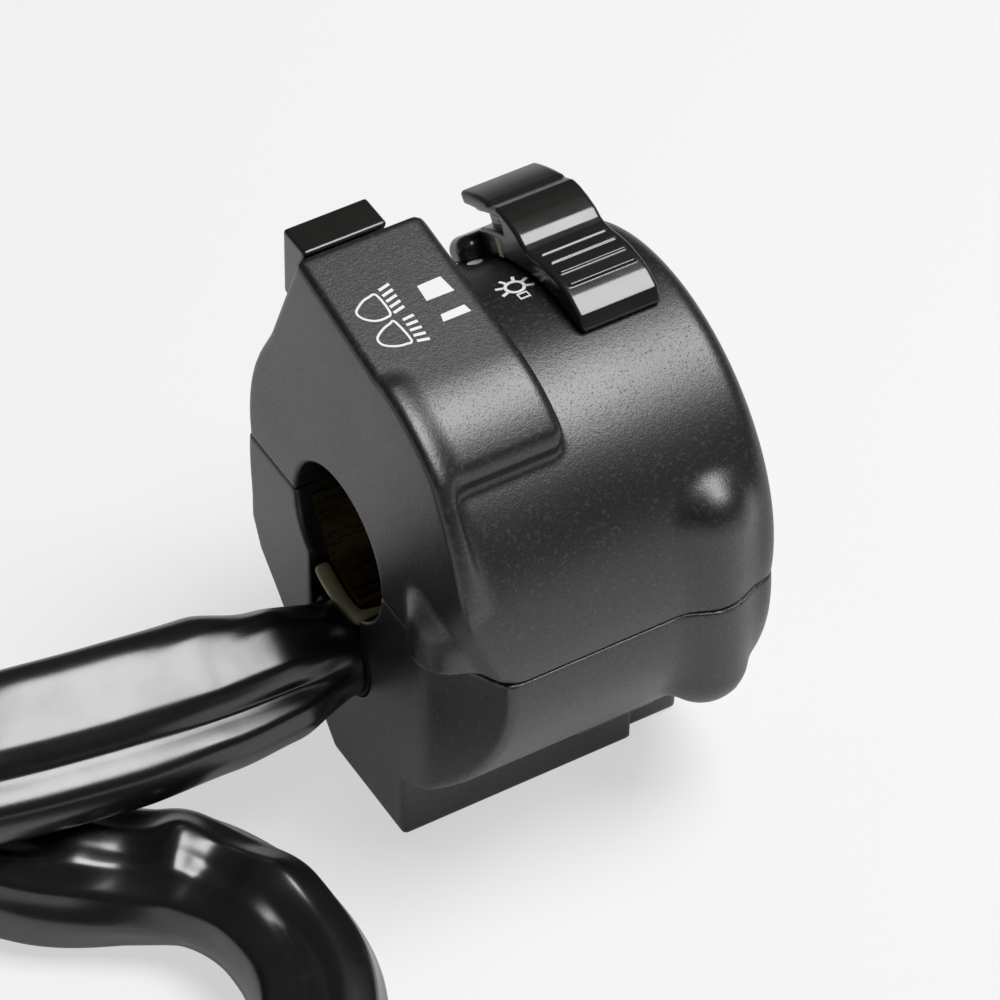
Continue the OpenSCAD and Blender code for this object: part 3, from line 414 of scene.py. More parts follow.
# harness sleeve: limp vinyl tube over the wires, gathered where it enters and slack further out
sleeveSettings = {
    "route": [(0, -1, -18.5), (-6, -1, -18.5), (-18, -1, -18.1), (-34, 0, -17.3), (-52, 2, -16.2),
              (-69, 5, -17), (-85, 11, -23.5), (-99, 21, -30.5), (-108, 36, -33), (-110, 54, -33),
              (-103, 69, -33), (-90, 76, -33), (-77, 72, -33), (-69, 59, -33), (-66, 42, -33),
              (-64, 24, -33), (-58, 8, -33), (-48, -4, -33), (-37, -11, -33), (-29.5, -17.5, -33),
              (-25.5, -28, -33), (-26.5, -41, -33), (-35, -54, -33), (-50, -65.5, -33), (-67, -74, -33)],
    "diameter": 15.0,
    "floor": -40.5,
    "steps": 16,
    "sides": 120,
    "gather": 6.7,
    "pleats": 9,
    "pleatHeight": 0.45,
    "pleatTurn": 0.6,
    "pleatsGrow": (0.0, 5.0),
    # where each section opens, and its points as distance up the flattened face and out of it
    "sections": [
        ((1.5, 11.0), [(8.8, 1.4), (8.0, 4.4), (6.0, 6.2), (0.5, 7.6), (-1.6, 6.5), (-3.0, 4.7), (-4.6, 5.9),
                       (-5.8, 6.1), (-8.2, 4.2), (-9.4, 1.0), (-8.5, -3.5), (-5.0, -6.0), (0.0, -6.6),
                       (5.0, -6.0), (8.0, -3.2)]),
        ((10.0, 20.5), [(11.2, 0.8), (10.2, 3.3), (8.0, 4.9), (0.4, 6.6), (-1.6, 5.8), (-3.2, 4.6),
                        (-5.2, 5.8), (-6.4, 6.0), (-8.8, 4.4), (-10.2, 1.5), (-9.8, -2.0), (-6.5, -5.2),
                        (0.0, -6.2), (6.5, -5.2), (10.5, -2.0)]),
        ((20.0, 34.0), [(11.4, 0.8), (10.4, 2.8), (8.6, 3.9), (0.8, 5.7), (-1.2, 5.5), (-3.0, 4.8),
                        (-5.6, 5.9), (-7.2, 6.0), (-9.4, 4.4), (-11.0, 1.5), (-10.6, -1.8), (-7.0, -5.0),
                        (0.0, -6.0), (7.0, -5.0), (10.8, -1.8)]),
    ],
    "loose": [(9.0, 0.5), (7.0, 4.6), (3.0, 6.0), (0.6, 5.5), (-2.5, 6.3), (-6.8, 5.0), (-9.0, 0.5),
              (-8.4, -4.5), (-5.0, -7.2), (0.0, -7.7), (5.0, -7.2), (8.4, -4.5)],
    # slack part: slow twist in radians and its length, creases as height, count round and length
    "wander": (0.16, 17.0),
    "creases": [(0.35, 4, 11.0), (0.3, 2, 6.3)],
    # kinks of the second run: place along the route in points, height and half length
    "kinks": [(17.4, 1.6, 4.0), (18.6, 2.2, 3.6), (19.9, 1.8, 4.5)],
    "lean": 49.5,
    "opens": (2.0, 14.0),
    "settles": (44.0, 95.0),
    "endTaper": 25.0,
    "limits": (5.6, 11.45),
}
sectionSettings = {"between": 12, "blur": 6, "samples": 13, "falloff": 1.4}


def ramp(value, low, high):
    t = np.clip((value - low) / (high - low), 0.0, 1.0)
    return t * t * (3 - 2 * t)


def sectionRadius(points, angle, s):
    # distance from the middle at an angle from straight out, through points given as up and out
    corners = np.asarray(points, float)
    step = (np.arange(s["between"]) / s["between"])[:, None, None]
    p = (corners + (np.roll(corners, -1, axis=0) - corners) * step).reshape(-1, 2)
    at, size = np.arctan2(p[:, 0], p[:, 1]), np.hypot(p[:, 0], p[:, 1])
    order = np.argsort(at)
    at, size = at[order], size[order]
    at = np.concatenate([at - 2 * math.pi, at, at + 2 * math.pi])
    size = np.tile(size, 3)
    wrapped = (angle + math.pi) % (2 * math.pi) - math.pi
    # blurred a few degrees to both sides, so that corners are soft folds
    spread = np.radians(np.linspace(-s["blur"], s["blur"], s["samples"]))
    weight = np.cos(np.linspace(-s["falloff"], s["falloff"], s["samples"]))
    return sum(w * np.interp(wrapped + d, at, size) for d, w in zip(spread, weight)) / weight.sum()


def makeSleeve(s):
    line = smoothLine(s["route"], s["steps"])
    along = alongLine(line)
    angle = np.arange(s["sides"]) * 2 * math.pi / s["sides"]
    row = along[:, None]
    settled = ramp(row, *s["settles"])
    opened = ramp(row, *s["opens"])
    shut = ramp(along[-1] - row, 0.0, s["endTaper"])
    turned = angle[None, :] - np.radians(s["lean"] + (90 - s["lean"]) * settled)
    pleats = s["pleatHeight"] * np.cos(s["pleats"] * turned + s["pleatTurn"])
    radius = s["gather"] + pleats * ramp(row, *s["pleatsGrow"]) * (1 - opened)
    for opens, section in s["sections"]:
        radius = radius + (sectionRadius(section, turned, sectionSettings) - radius) * ramp(row, *opens)
    twist, length = s["wander"]
    loose = sectionRadius(s["loose"], turned + twist * np.sin(row / length) * settled, sectionSettings)
    creases = sum(high * np.sin(count * angle + row / wave) for high, count, wave in s["creases"])
    radius = radius + (loose + creases - radius) * settled
    for at, height, half in s["kinks"]:
        off = (row - along[int(at * s["steps"])]) / half
        radius = radius + height * np.exp(-off ** 2) * np.clip(np.sin(angle), 0, 1) ** 2
    radius = np.clip(radius * shut + s["gather"] * (1 - shut), *s["limits"])
    points, faces = tubeMesh(line, radius, s["sides"])
    points[:, 2] = np.maximum(points[:, 2], s["floor"])
    obj = addPiece("harnessSleeve", points, faces, sleeveVinyl, "housing", ["harness_sleeve"])
    print("stage: sleeve, length in mm", round(float(along[-1]), 1))


makeSleeve(sleeveSettings)

# wires inside the housing, and the one that shows in the bore, held against its wall
wireSettings = {
    "thick": 1.6,
    "routes": [
        [(4.5, 2, -17.5), (6, 2, -17.5), (8.5, 4, -17), (10.5, 8.5, -15.5), (12, 12.1, -12.5),
         (12.5, 13.3, -11.5), (12.5, 15.1, -11.5)],
        [(4.5, -1, -22), (6, -1, -22), (8, -1.5, -22), (11, -1.92, -21.74), (16, -0.47, -23.11)],
        [(4.5, -4, -17), (6, -4, -17), (9.5, -8.5, -15.5), (13, -14, -10), (19, -17.5, -1), (25, -17, 9),
         (30, -12, 17), (34, -8.5, 21)],
        [(4.5, -5, -21.5), (6, -5, -21.5), (9.5, -12.5, -18), (10, -18, -10), (10, -20, 1), (10, -15, 12),
         (10, -6, 18.5), (10, 2, 21), (10, 6.5, 22.5)],
    ],
    "boreThick": 2.2,
    # x, distance from the bar axis and degrees behind the lowest line
    "boreRoute": [(1.3, 12.55, 32), (1.3, 12.55, 22), (1.3, 12.55, 12), (1.3, 12.65, 3), (1.4, 12.75, -6),
                  (2.0, 12.95, -12), (4.5, 13.15, -15), (8.0, 13.35, -16), (13.0, 14.55, -18)],
    "steps": 8,
    "sides": 16,
    "up": (0.35, 0.2, 0.9),
    # rounded ends, cut off blunt: shares of the radius
    "blunt": 0.35,
    "leastTip": 0.05,
}


def makeWires(s):
    bore = [(x, r * math.sin(math.radians(a)), -r * math.cos(math.radians(a))) for x, r, a in s["boreRoute"]]
    allPoints, allFaces, count = [], [], 0
    for route, thick in [(r, s["thick"]) for r in s["routes"]] + [(bore, s["boreThick"])]:
        line = smoothLine(route, s["steps"])
        along = alongLine(line)
        end = np.minimum(along, along[-1] - along) / (thick / 2)
        short = np.clip(1 - end - s["blunt"], 0, 1)
        radius = thick / 2 * np.sqrt(np.clip(1 - short ** 2, s["leastTip"], 1))
        points, faces = tubeMesh(line, radius[:, None], s["sides"], up=s["up"])
        allPoints.append(points)
        allFaces.append(faces + count)
        count += len(points)
    addPiece("wireRuns", np.vstack(allPoints), np.vstack(allFaces), wireJacket, "housing", ["wires"])
    print("stage: wires")


makeWires(wireSettings)


# distance fields on a grid, for moulded pieces with rounded edges and blends
def gridOf(low, high, cell):
    axes = [np.arange(low[i], high[i] + cell, cell, dtype=np.float32) for i in range(3)]
    return axes[0][:, None, None], axes[1][None, :, None], axes[2][None, None, :]


def join(a, b, k=0.0):
    if not k:
        return np.minimum(a, b)
    h = np.maximum(k - np.abs(a - b), 0) / k
    return np.minimum(a, b) - h * h * k / 4


def cut(a, b, k=0.0):
    # a with b taken away
    return -join(-a, b, k)


def both(a, b, r=0.0):
    # where a and b overlap, with the edge between them rounded by r
    a, b = a + r, b + r
    return np.minimum(np.maximum(a, b), 0) + np.hypot(np.maximum(a, 0), np.maximum(b, 0)) - r


def overlap(*fields):
    # where all the fields overlap, with plain edges
    out = fields[0]
    for field in fields[1:]:
        out = np.maximum(out, field)
    return out


def span(v, low, high):
    return np.abs(v - (low + high) / 2) - (high - low) / 2


def spans(places, limits):
    return overlap(*[span(v, *ends) for v, ends in zip(places, limits)])


def planeField(g, normal, place):
    return sum(n * (v - p) for n, v, p in zip(normal, g, place))


def boxField(g, low, high, r=0.0):
    q = [span(g[i], low[i], high[i]) + r for i in range(3)]
    outside = np.sqrt(sum(np.maximum(v, 0) ** 2 for v in q))
    return outside + np.minimum(np.maximum(np.maximum(q[0], q[1]), q[2]), 0) - r


def rodX(g, radius, x0, x1, y=0.0, z=0.0, r=0.0):
    return both(np.hypot(g[1] - y, g[2] - z) - radius, span(g[0], x0, x1), r)


def rodZ(g, radius, z0, z1, x=0.0, y=0.0, r=0.0):
    return both(np.hypot(g[0] - x, g[1] - y) - radius, span(g[2], z0, z1), r)


def capsuleZ(g, radius, z0, z1, x, y):
    return np.sqrt((g[0] - x) ** 2 + (g[1] - y) ** 2 + (g[2] - np.clip(g[2], z0, z1)) ** 2) - radius


def turnedLeft(points):
    # the outline, anticlockwise
    p = np.asarray(points, float)
    q = np.roll(p, -1, axis=0)
    return p if np.sum(p[:, 0] * q[:, 1] - p[:, 1] * q[:, 0]) > 0 else p[::-1]


def shrink(points, d):
    # the outline moved inward by d
    p = turnedLeft(points)
    e = np.roll(p, -1, axis=0) - p
    e /= np.linalg.norm(e, axis=1)[:, None]
    after = np.stack([e[:, 1], -e[:, 0]], axis=1)
    before = np.roll(after, 1, axis=0)
    return p - d * (before + after) / (1 + (before * after).sum(axis=1))[:, None]


def outlineField(u, v, points, r=0.0):
    # signed distance to a closed outline in a plane, with its outer corners rounded by r
    p = (shrink(points, r) if r else np.asarray(points)).astype(np.float32)
    best = np.full(np.broadcast(u, v).shape, 1e9, np.float32)
    inside = np.zeros(best.shape, bool)
    for a, b in zip(p, np.roll(p, -1, axis=0)):
        e = b - a
        t = np.clip(((u - a[0]) * e[0] + (v - a[1]) * e[1]) / (e @ e), 0, 1)
        best = np.minimum(best, (u - a[0] - t * e[0]) ** 2 + (v - a[1] - t * e[1]) ** 2)
        if a[1] != b[1]:
            inside ^= ((a[1] > v) != (b[1] > v)) & (u < a[0] + (v - a[1]) * e[0] / e[1])
    return np.where(inside, -1, 1) * np.sqrt(best) - r


def fieldMesh(field, g, cell):
    # the surface of a distance field as quads, one point to each cell that it passes through
    field = np.broadcast_to(field, np.broadcast(*g).shape)
    inside = field < 0
    shape = np.array(field.shape)
    corners = [(i, j, k) for i in (0, 1) for j in (0, 1) for k in (0, 1)]
    count = np.zeros(shape - 1, np.int8)
    for i, j, k in corners:
        count += inside[i:shape[0] - 1 + i, j:shape[1] - 1 + j, k:shape[2] - 1 + k]
    cells = np.argwhere((count > 0) & (count < 8))
    index = np.full(shape - 1, -1, np.int32)
    index[tuple(cells.T)] = np.arange(len(cells))
    total = np.zeros((len(cells), 3), np.float32)
    hits = np.zeros((len(cells), 1), np.float32)
    for start in corners:
        for axis in range(3):
            if start[axis]:
                continue
            stop = list(start)
            stop[axis] = 1
            fa, fb = field[tuple((cells + start).T)], field[tuple((cells + stop).T)]
            crossing = (fa < 0) != (fb < 0)
            spot = np.tile(np.array(start, np.float32), (len(cells), 1))
            spot[:, axis] += fa / np.where(crossing, fa - fb, 1)
            total += np.where(crossing[:, None], spot, 0)
            hits += crossing[:, None]
    low = np.array([axis.ravel()[0] for axis in g])
    points = low + (cells + total / hits) * cell
    quads = []
    for axis in range(3):
        u, v = [(1, 2), (2, 0), (0, 1)][axis]
        here = inside[tuple(slice(1, -1) if i != axis else slice(0, -1) for i in range(3))]
        there = inside[tuple(slice(1, -1) if i != axis else slice(1, None) for i in range(3))]
        spots = np.argwhere(here != there)
        outward = here[tuple(spots.T)]
        ring = []
        for du, dv in ((1, 1), (0, 1), (0, 0), (1, 0)):
            q = spots.copy()
            q[:, u] += du
            q[:, v] += dv
            ring.append(index[tuple(q.T)])
        ring = np.stack(ring, axis=1)
        quads.append(np.where(outward[:, None], ring, ring[:, ::-1]))
    return points, np.vstack(quads)


def addMoulded(name, field, g, s, body, slot, node):
    # a moulded piece from its distance field
    points, quads = fieldMesh(field, g, s["cell"])
    addPiece(name, points, quads, slotMaterials[slot], body, [node], s["sharp"])
    print("stage:", name, len(quads), "faces")


# housing: sizes of the two half shells in mm
housingSettings = {
    "length": 46.9, "drumRadius": 29.0, "drumY": -5.0, "upperZ": 4.0, "lowerZ": -3.6,
    "wall": 2.2, "endWall": 3.0, "edgeIn": 1.1, "edgeOut": 3.0, "seamGap": 0.02, "seamEdge": 0.3,
    "bore": 11.15, "boreEdge": 0.6, "collar": 13.95, "collarLength": 8.0,
    # raised block of the upper half: its rear top corner, and the slopes from there in degrees
    "blockLength": 18.7, "blockSkew": 2.0, "blockCorner": (10.0, 42.0),
    "blockRoot": [(-15.0, 8.0), (12.0, 2.0)],
    "rearSlope": 22.0, "rearLength": 27.5, "topSlope": 11.7, "topLength": 23.4,
    "noseRadius": (21.5, 3.2), "noseTurns": (43, 98), "noseSteps": 16,
    "blockEdge": 0.9, "blockEdgeOut": 1.9, "blockBlend": 1.2,
    # lip at the inboard end, from and to in degrees forward of straight up
    "lipFrom": 12, "lipTo": 68, "lipStep": 4, "lipProud": 4.6, "lipFades": 32.0, "lipWidth": 2.6,
    "lipRoot": 24.6, "lipEdge": 0.6, "lipEdgeOut": 1.2, "lipBlend": 3.0,
    # cut corner at the front of the inboard end: its slant, a place on it, and how far out the lower one lies
    "upperCorner": ((0.825, 0.464, 0.323), (-1, -20, -1)), "upperCornerBlend": 2.0,
    "lowerCorner": ((0.8716, 0.4903, 0.0), (-1, -20, 0)), "lowerCornerOut": 0.5, "lowerCornerBlend": 1.0,
    # screw bosses as x, y, radius and top, and screws as x, y, seat and tip
    "boss": (37.9, -29.6, 6.0, 12.8), "bossBlend": 1.8, "footRadius": 6.3, "footEnd": -14.2,
    "smallBoss": (3.4, -23.2, 5.5, 5.0), "smallBossBlend": 1.6,
    "screws": [(40.0, -29.8, -17.0, 9.0), (4.8, -23.2, -18.0, 7.5), (42.7, 16.4, -16.0, 9.0)],
    "post": 3.9, "postCap": 2.0, "postInto": 1.0, "screwHole": 2.05, "pastTip": 0.5, "pastSeat": 1.0,
    "headHole": 3.55, "headSkin": 0.9,
    # box of the lower half, and the shallower part behind it, as y and z
    "boxOutline": [(23.6, 3.2), (-5.0, 3.2), (-15.5, -23.6), (-15.5, -40.5), (1.395, -40.5), (17.0, -24.0),
                   (21.5, -19.62), (23.6, -15.0)],
    "backOutline": [(23.6, 3.2), (-5.0, 3.2), (-5.0, -24.0), (17.0, -24.0), (21.5, -19.62), (23.6, -15.0)],
    "boxLength": 44.0, "backSpan": (1.5, 45.0), "backHollow": 44.5,
    "boxEdge": 0.7, "boxEdgeIn": 0.8, "boxBlend": 0.8,
    # panel on the box's front and step below the screw boss: low corner, high corner and edge
    "panel": ((-5, -17.3, -40.5), (35.6, -14.5, -23.6), 0.5), "panelBlend": 0.4,
    "step": ((24, -21.4, -30.5), (36.8, -14.5, -18.6), 0.7), "stepBlend": 0.5,
    # slots: the lever's in degrees, x and radius, with mm to a degree, the dimmer's in x, out and up its face
    "leverSlot": ((-33.0, -1.6), (32.2, 39.8), (24.0, 32.0)), "leverSlotArc": 0.49,
    "dimmerSlot": ((4.2, 10.8), (-4.4, 1.0), (-15.6, -3.5)),
    "turnX": 23.4, "turnZ": -8.0, "turnSlot": (7.3, 2.5), "turnSlotDepth": (20.4, 24.6),
    "hornX": 18.0, "hornPlace": (9.198, -32.249), "hornTilt": 43.4,
    "hornHole": 6.05, "hornDepth": (-4.4, 5.0),
    # mouth for the harness: a hole and a slot above it, by its front, rear and top
    "harness": (-1.0, -18.5), "harnessHole": 7.25, "harnessDepth": (-1.0, 9.0),
    "harnessSlot": (4.5, 7.5, -5.575), "harnessEdge": 0.4,
    # seat of the bar saddle: radius, degrees behind the lowest line and x, with mm to a degree
    "saddleSeat": ((10.15, 12.2), (-8.0, 81.0), (2.55, 44.95)), "saddleSeatArc": 0.2,
    "upperGrid": ((-3.0, -38.2, -0.9), (48.8, 26.2, 44.0)),
    "lowerGrid": ((-1.2, -38.2, -41.6), (48.8, 26.2, 0.9)),
    "cell": 0.37, "sharp": 45,
}
house = housingSettings
drumY, drumZ, drumR = house["drumY"], house["upperZ"], house["drumRadius"]
far = 200.0  # past the ends of every piece


def drumPlace(r, a):
    # y and z at a radius from the upper drum axis and degrees forward of straight up
    a = np.radians(a)
    return drumY - r * np.sin(a), drumZ + r * np.cos(a)


def drumPolar(g):
    return np.hypot(g[1] - drumY, g[2] - drumZ), np.degrees(np.arctan2(drumY - g[1], g[2] - drumZ))


def drumField(g, z, s):
    return both(np.hypot(g[1] - s["drumY"], g[2] - z) - s["drumRadius"], g[0] - s["length"], s["edgeOut"])


def blockOutline(s):
    corner = np.array(s["blockCorner"])
    rear, top = math.radians(s["rearSlope"]), math.radians(s["topSlope"])
    foot = corner + s["rearLength"] * np.array([math.sin(rear), -math.cos(rear)])
    noseStart = corner - s["topLength"] * np.array([math.cos(top), math.sin(top)])
    arc, at, start = [], noseStart, top
    for r, stop in zip(s["noseRadius"], np.radians(s["noseTurns"])):
        mid = at - r * np.array([-math.sin(start), math.cos(start)])
        turns = np.linspace(start, stop, s["noseSteps"])
        arc += [mid + r * np.array([-math.sin(a), math.cos(a)]) for a in turns]
        at, start = arc.pop(), stop
    arc.append(at)
    return [tuple(foot), tuple(corner), *map(tuple, arc), *s["blockRoot"]]


def blockSide(g, s):
    # distance past the block's outboard side, which is slanted in plan
    skew = math.radians(s["blockSkew"])
    return (g[0] - s["blockLength"] - math.tan(skew) * (s["blockCorner"][0] - g[1])) * math.cos(skew)


def lipOutline(s):
    turns = range(s["lipFrom"], s["lipTo"] + 1, s["lipStep"])
    proud = [s["lipProud"] * min(1, (s["lipTo"] - a) / s["lipFades"]) for a in turns]
    rim = [drumPlace(drumR + high, a) for high, a in zip(proud, turns)]
    return rim + [drumPlace(s["lipRoot"], s["lipTo"]), drumPlace(s["lipRoot"], s["lipFrom"])]


def rearFace(g, s):
    # x, distance out of the block's rear face and up along it
    t = math.radians(s["rearSlope"])
    y, z = g[1] - s["blockCorner"][0], g[2] - s["blockCorner"][1]
    return g[0], y * math.cos(t) + z * math.sin(t), z * math.cos(t) - y * math.sin(t)


def hornFace(g, s):
    # across, along and out of the sloping face with the horn button
    t = math.radians(s["hornTilt"])
    y, z = g[1] - s["hornPlace"][0], g[2] - s["hornPlace"][1]
    return g[0] - s["hornX"], y * math.sin(t) + z * math.cos(t), y * math.cos(t) - z * math.sin(t)


def insideParts(g, s, low):
    # collars round the bar and posts round the screws
    out = np.minimum(rodX(g, s["collar"], 0, s["collarLength"]),
                     rodX(g, s["collar"], s["length"] - s["collarLength"], s["length"]))
    for x, y, seat, tip in s["screws"]:
        out = np.minimum(out, rodZ(g, s["post"], low, tip + s["postCap"], x, y))
    return out


def hollowShell(g, s, out, hollow, corner, drumMiddle, postFrom):
    # the outside less the hollow, with the inside parts; a wall is left behind the cut corner
    inner = rodX(g, drumR - s["wall"], s["endWall"], s["length"] - s["endWall"], drumY, drumMiddle)
    shell = cut(out, np.maximum(np.minimum(inner, hollow), s["wall"] - corner))
    return np.minimum(shell, np.maximum(insideParts(g, s, postFrom), out))


def upperField(g, s):
    outline = blockOutline(s)
    block = both(outlineField(g[1], g[2], outline, s["blockEdge"]), blockSide(g, s), s["blockEdgeOut"])
    out = join(drumField(g, s["upperZ"], s), block, s["blockBlend"])
    lip = both(outlineField(g[1], g[2], lipOutline(s), s["lipEdge"]), g[0] - s["lipWidth"], s["lipEdgeOut"])
    out = join(out, lip, s["lipBlend"])
    corner = planeField(g, *s["upperCorner"])
    out = cut(both(out, -g[0], s["edgeIn"]), corner, s["upperCornerBlend"])
    for boss in ("boss", "smallBoss"):
        x, y, r, top = s[boss]
        out = join(out, capsuleZ(g, r, -far, top, x, y), s[boss + "Blend"])
    hollow = overlap(outlineField(g[1], g[2], shrink(outline, s["wall"])),
                     s["endWall"] - g[0], blockSide(g, s) + s["wall"])
    shell = hollowShell(g, s, out, hollow, corner, s["upperZ"], -s["postInto"])
    shell = both(shell, s["seamGap"] - g[2], s["seamEdge"])
    shell = cut(shell, rodX(g, s["bore"], -far, far), s["boreEdge"])
    for x, y, seat, tip in s["screws"]:
        shell = cut(shell, rodZ(g, s["screwHole"], seat, tip + s["pastTip"], x, y))
    r, a = drumPolar(g)
    turn, across, depth = s["leverSlot"]
    leverSlot = overlap(span(a, *turn) * s["leverSlotArc"], span(g[0], *across), span(r, *depth))
    return cut(shell, np.minimum(leverSlot, spans(rearFace(g, s), s["dimmerSlot"])))


def lowerField(g, s):
    edge = s["boxEdge"]
    body = both(outlineField(g[1], g[2], s["boxOutline"], edge), g[0] - s["boxLength"], edge)
    rear = both(outlineField(g[1], g[2], s["backOutline"], edge), span(g[0], *s["backSpan"]), edge)
    out = join(join(drumField(g, s["lowerZ"], s), rear, s["boxBlend"]), body, s["boxBlend"])
    out = join(out, boxField(g, *s["panel"]), s["panelBlend"])
    corner = planeField(g, *s["lowerCorner"]) + s["lowerCornerOut"]
    out = cut(both(out, -g[0], s["boxEdgeIn"]), corner, s["lowerCornerBlend"])
    out = join(out, boxField(g, *s["step"]), s["stepBlend"])
    out = join(out, capsuleZ(g, s["footRadius"], s["footEnd"], far, *s["boss"][:2]), s["bossBlend"])
    hollow = np.minimum(
        np.maximum(outlineField(g[1], g[2], shrink(s["boxOutline"], s["wall"])),
                   span(g[0], s["endWall"], s["boxLength"] - s["wall"])),
        np.maximum(outlineField(g[1], g[2], shrink(s["backOutline"], s["wall"])),
                   span(g[0], s["endWall"], s["backHollow"])))
    shell = hollowShell(g, s, out, hollow, corner, s["lowerZ"], -far)
    shell = both(shell, g[2] + s["seamGap"], s["seamEdge"])
    shell = cut(shell, rodX(g, s["bore"], -far, far), s["boreEdge"])
    for x, y, seat, tip in s["screws"]:
        head = np.maximum(rodZ(g, s["headHole"], -far, seat, x, y), s["headSkin"] - corner)
        hole = rodZ(g, s["screwHole"], seat - s["pastSeat"], tip + s["pastTip"], x, y)
        shell = cut(shell, np.minimum(hole, head))
    halfX, halfZ = s["turnSlot"]
    y0, y1 = s["turnSlotDepth"]
    shell = cut(shell, boxField(g, (s["turnX"] - halfX, y0, s["turnZ"] - halfZ),
                                (s["turnX"] + halfX, y1, s["turnZ"] + halfZ)))
    across, along, outward = hornFace(g, s)
    shell = cut(shell, np.maximum(np.hypot(across, along) - s["hornHole"], span(outward, *s["hornDepth"])))
    y, z = s["harness"]
    x0, x1 = s["harnessDepth"]
    front, back, top = s["harnessSlot"]
    slot = boxField(g, (x0, y - front, z), (x1, back, top))
    mouth = np.minimum(rodX(g, s["harnessHole"], x0, x1, y, z), slot)
    shell = cut(shell, mouth, s["harnessEdge"])
    radial, turn, length = s["saddleSeat"]
    behind = np.degrees(np.arctan2(g[1], -g[2]))
    seat = overlap(span(np.hypot(g[1], g[2]), *radial), span(behind, *turn) * s["saddleSeatArc"],
                   span(g[0], *length))
    return cut(shell, seat)


def makeShells(s):
    for half, field in (("upper", upperField), ("lower", lowerField)):
        g = gridOf(*s[half + "Grid"], s["cell"])
        addMoulded(half + "Shell", field(g, s), g, s, "housing", "housing", half + "_housing")


makeShells(housingSettings)

# light lever: a flat rear plate on a stem, a shoulder and a ribbed thumb pad
leverSettings = {
    "middle": 35.6, "width": 12.0, "rest": -28.0, "arc": 32.0,
    # degrees ahead of the stem and height above the drum
    "plate": [(-12.6, 8.95), (-1.2, 7.75), (0.4, 7.0), (-4.0, 5.9), (-12.6, 7.05)],
    "pad": [(-8.5, 6.4), (-1.1, 7.3), (3.0, 7.45), (5.0, 7.05), (8.0, 6.15), (11.2, 5.05), (13.0, 4.05),
            (14.5, 3.65), (16.5, 3.5), (18.0, 3.5), (20.0, 3.6), (25.0, 3.8), (30.0, 3.65), (33.3, 3.35),
            (38.1, 2.45), (41.2, 0.4), (-8.5, 0.1)],
    "padTop": (1, 15),  # the points of its upper side, first and one past the last
    "edge": 0.35, "sideEdge": 0.6, "frontEdge": 1.5,
    "plateCorner": 0.25, "plateEdge": 0.8, "plateBlend": 0.2,
    "ribs": 4, "ribFrom": 17.7, "ribStep": 4.2, "ribRadius": 0.32, "ribLength": 9.4, "ribBlend": 0.12,
    # notch under the plate at the inboard side: degrees and height, each from and to
    "notch": (-14.0, 4.0, 3.9, 6.2), "notchTo": 31.6, "notchEdge": 0.5,
    "stem": (32.5, 39.5), "stemTurn": 4.0, "stemHeight": (-2.5, 6.6),
    # flanges over the slot: x, degrees and height, each from and to, and the top edge
    "skirts": [(26.6, 42.6, -20.0, -9.3, 0.08, 3.3, 1.8), (29.7, 41.6, -10.4, 0.0, 0.08, 2.3, 0.4)],
    "skirtCorner": 2.2, "skirtBlend": 0.3,
    # index mark: x, then degrees and height, each from and to
    "index": (29.6, -0.1, 2.1, 0.5, 3.2),
    "grid": ((24.2, -14.6, 20.0), (43.4, 21.6, 43.0)), "cell": 0.17, "sharp": 60,
}


def leverField(g, s):
    r, a = drumPolar(g)
    perDegree = math.radians(s["arc"])
    arc, h = (a - s["rest"]) * perDegree, r - drumR
    x = g[0]

    def turned(points):
        return [(t * perDegree, v) for t, v in points]

    def centred(length):
        return span(x, s["middle"] - length / 2, s["middle"] + length / 2)

    side = centred(s["width"])
    pad = both(outlineField(arc, h, turned(s["pad"]), s["edge"]), side, s["sideEdge"])
    pad = np.maximum(pad, both(arc - s["pad"][-2][0] * perDegree, side, s["frontEdge"]))
    plate = both(outlineField(arc, h, turned(s["plate"]), s["plateCorner"]), side, s["plateEdge"])
    a0, a1, h0, h1 = s["notch"]
    notch = overlap(span(arc, a0 * perDegree, a1 * perDegree), span(h, h0, h1), x - s["notchTo"])
    body = cut(join(pad, plate, s["plateBlend"]), notch, s["notchEdge"])
    turns, heights = zip(*s["pad"][slice(*s["padTop"])])
    ribEnds = np.maximum(centred(s["ribLength"]), 0)
    for i in range(s["ribs"]):
        at = (s["ribFrom"] + s["ribStep"] * i) * perDegree
        top = np.interp(at / perDegree, turns, heights)
        rib = np.sqrt((arc - at) ** 2 + (h - top) ** 2 + ribEnds ** 2) - s["ribRadius"]
        body = join(body, rib, s["ribBlend"])
    reach = s["stemTurn"] * perDegree
    stem = overlap(span(arc, -reach, reach), span(h, *s["stemHeight"]), span(x, *s["stem"]))
    out = np.minimum(body, stem)
    for x0, x1, a0, a1, h0, h1, edge in s["skirts"]:
        flange = both(span(arc, a0 * perDegree, a1 * perDegree), span(x, x0, x1), s["skirtCorner"])
        out = join(out, np.maximum(both(flange, h - h1, edge), h0 - h), s["skirtBlend"])
    return out


def makeLever(s):
    g = gridOf(*s["grid"], s["cell"])
    addMoulded("lightLever", leverField(g, s), g, s, "light", "control", "light_lever")


makeLever(leverSettings)

# dimmer knob on the block's rear face: a wedge with its neck through the slot
dimmerSettings = {
    "across": (1.5, 13.7), "edge": 0.45,
    # out of the face and up along it
    "outline": [(0.3, -11.98), (1.63, -11.98), (5.56, -2.25), (0.3, -0.12)],
    "neck": ((4.5, 10.5), (-2.5, 0.8), (-8.8, -3.8)),
    "grid": ((0.7, 5.0, 28.5), (14.5, 19.0, 44.0)), "cell": 0.18, "sharp": 60,
}


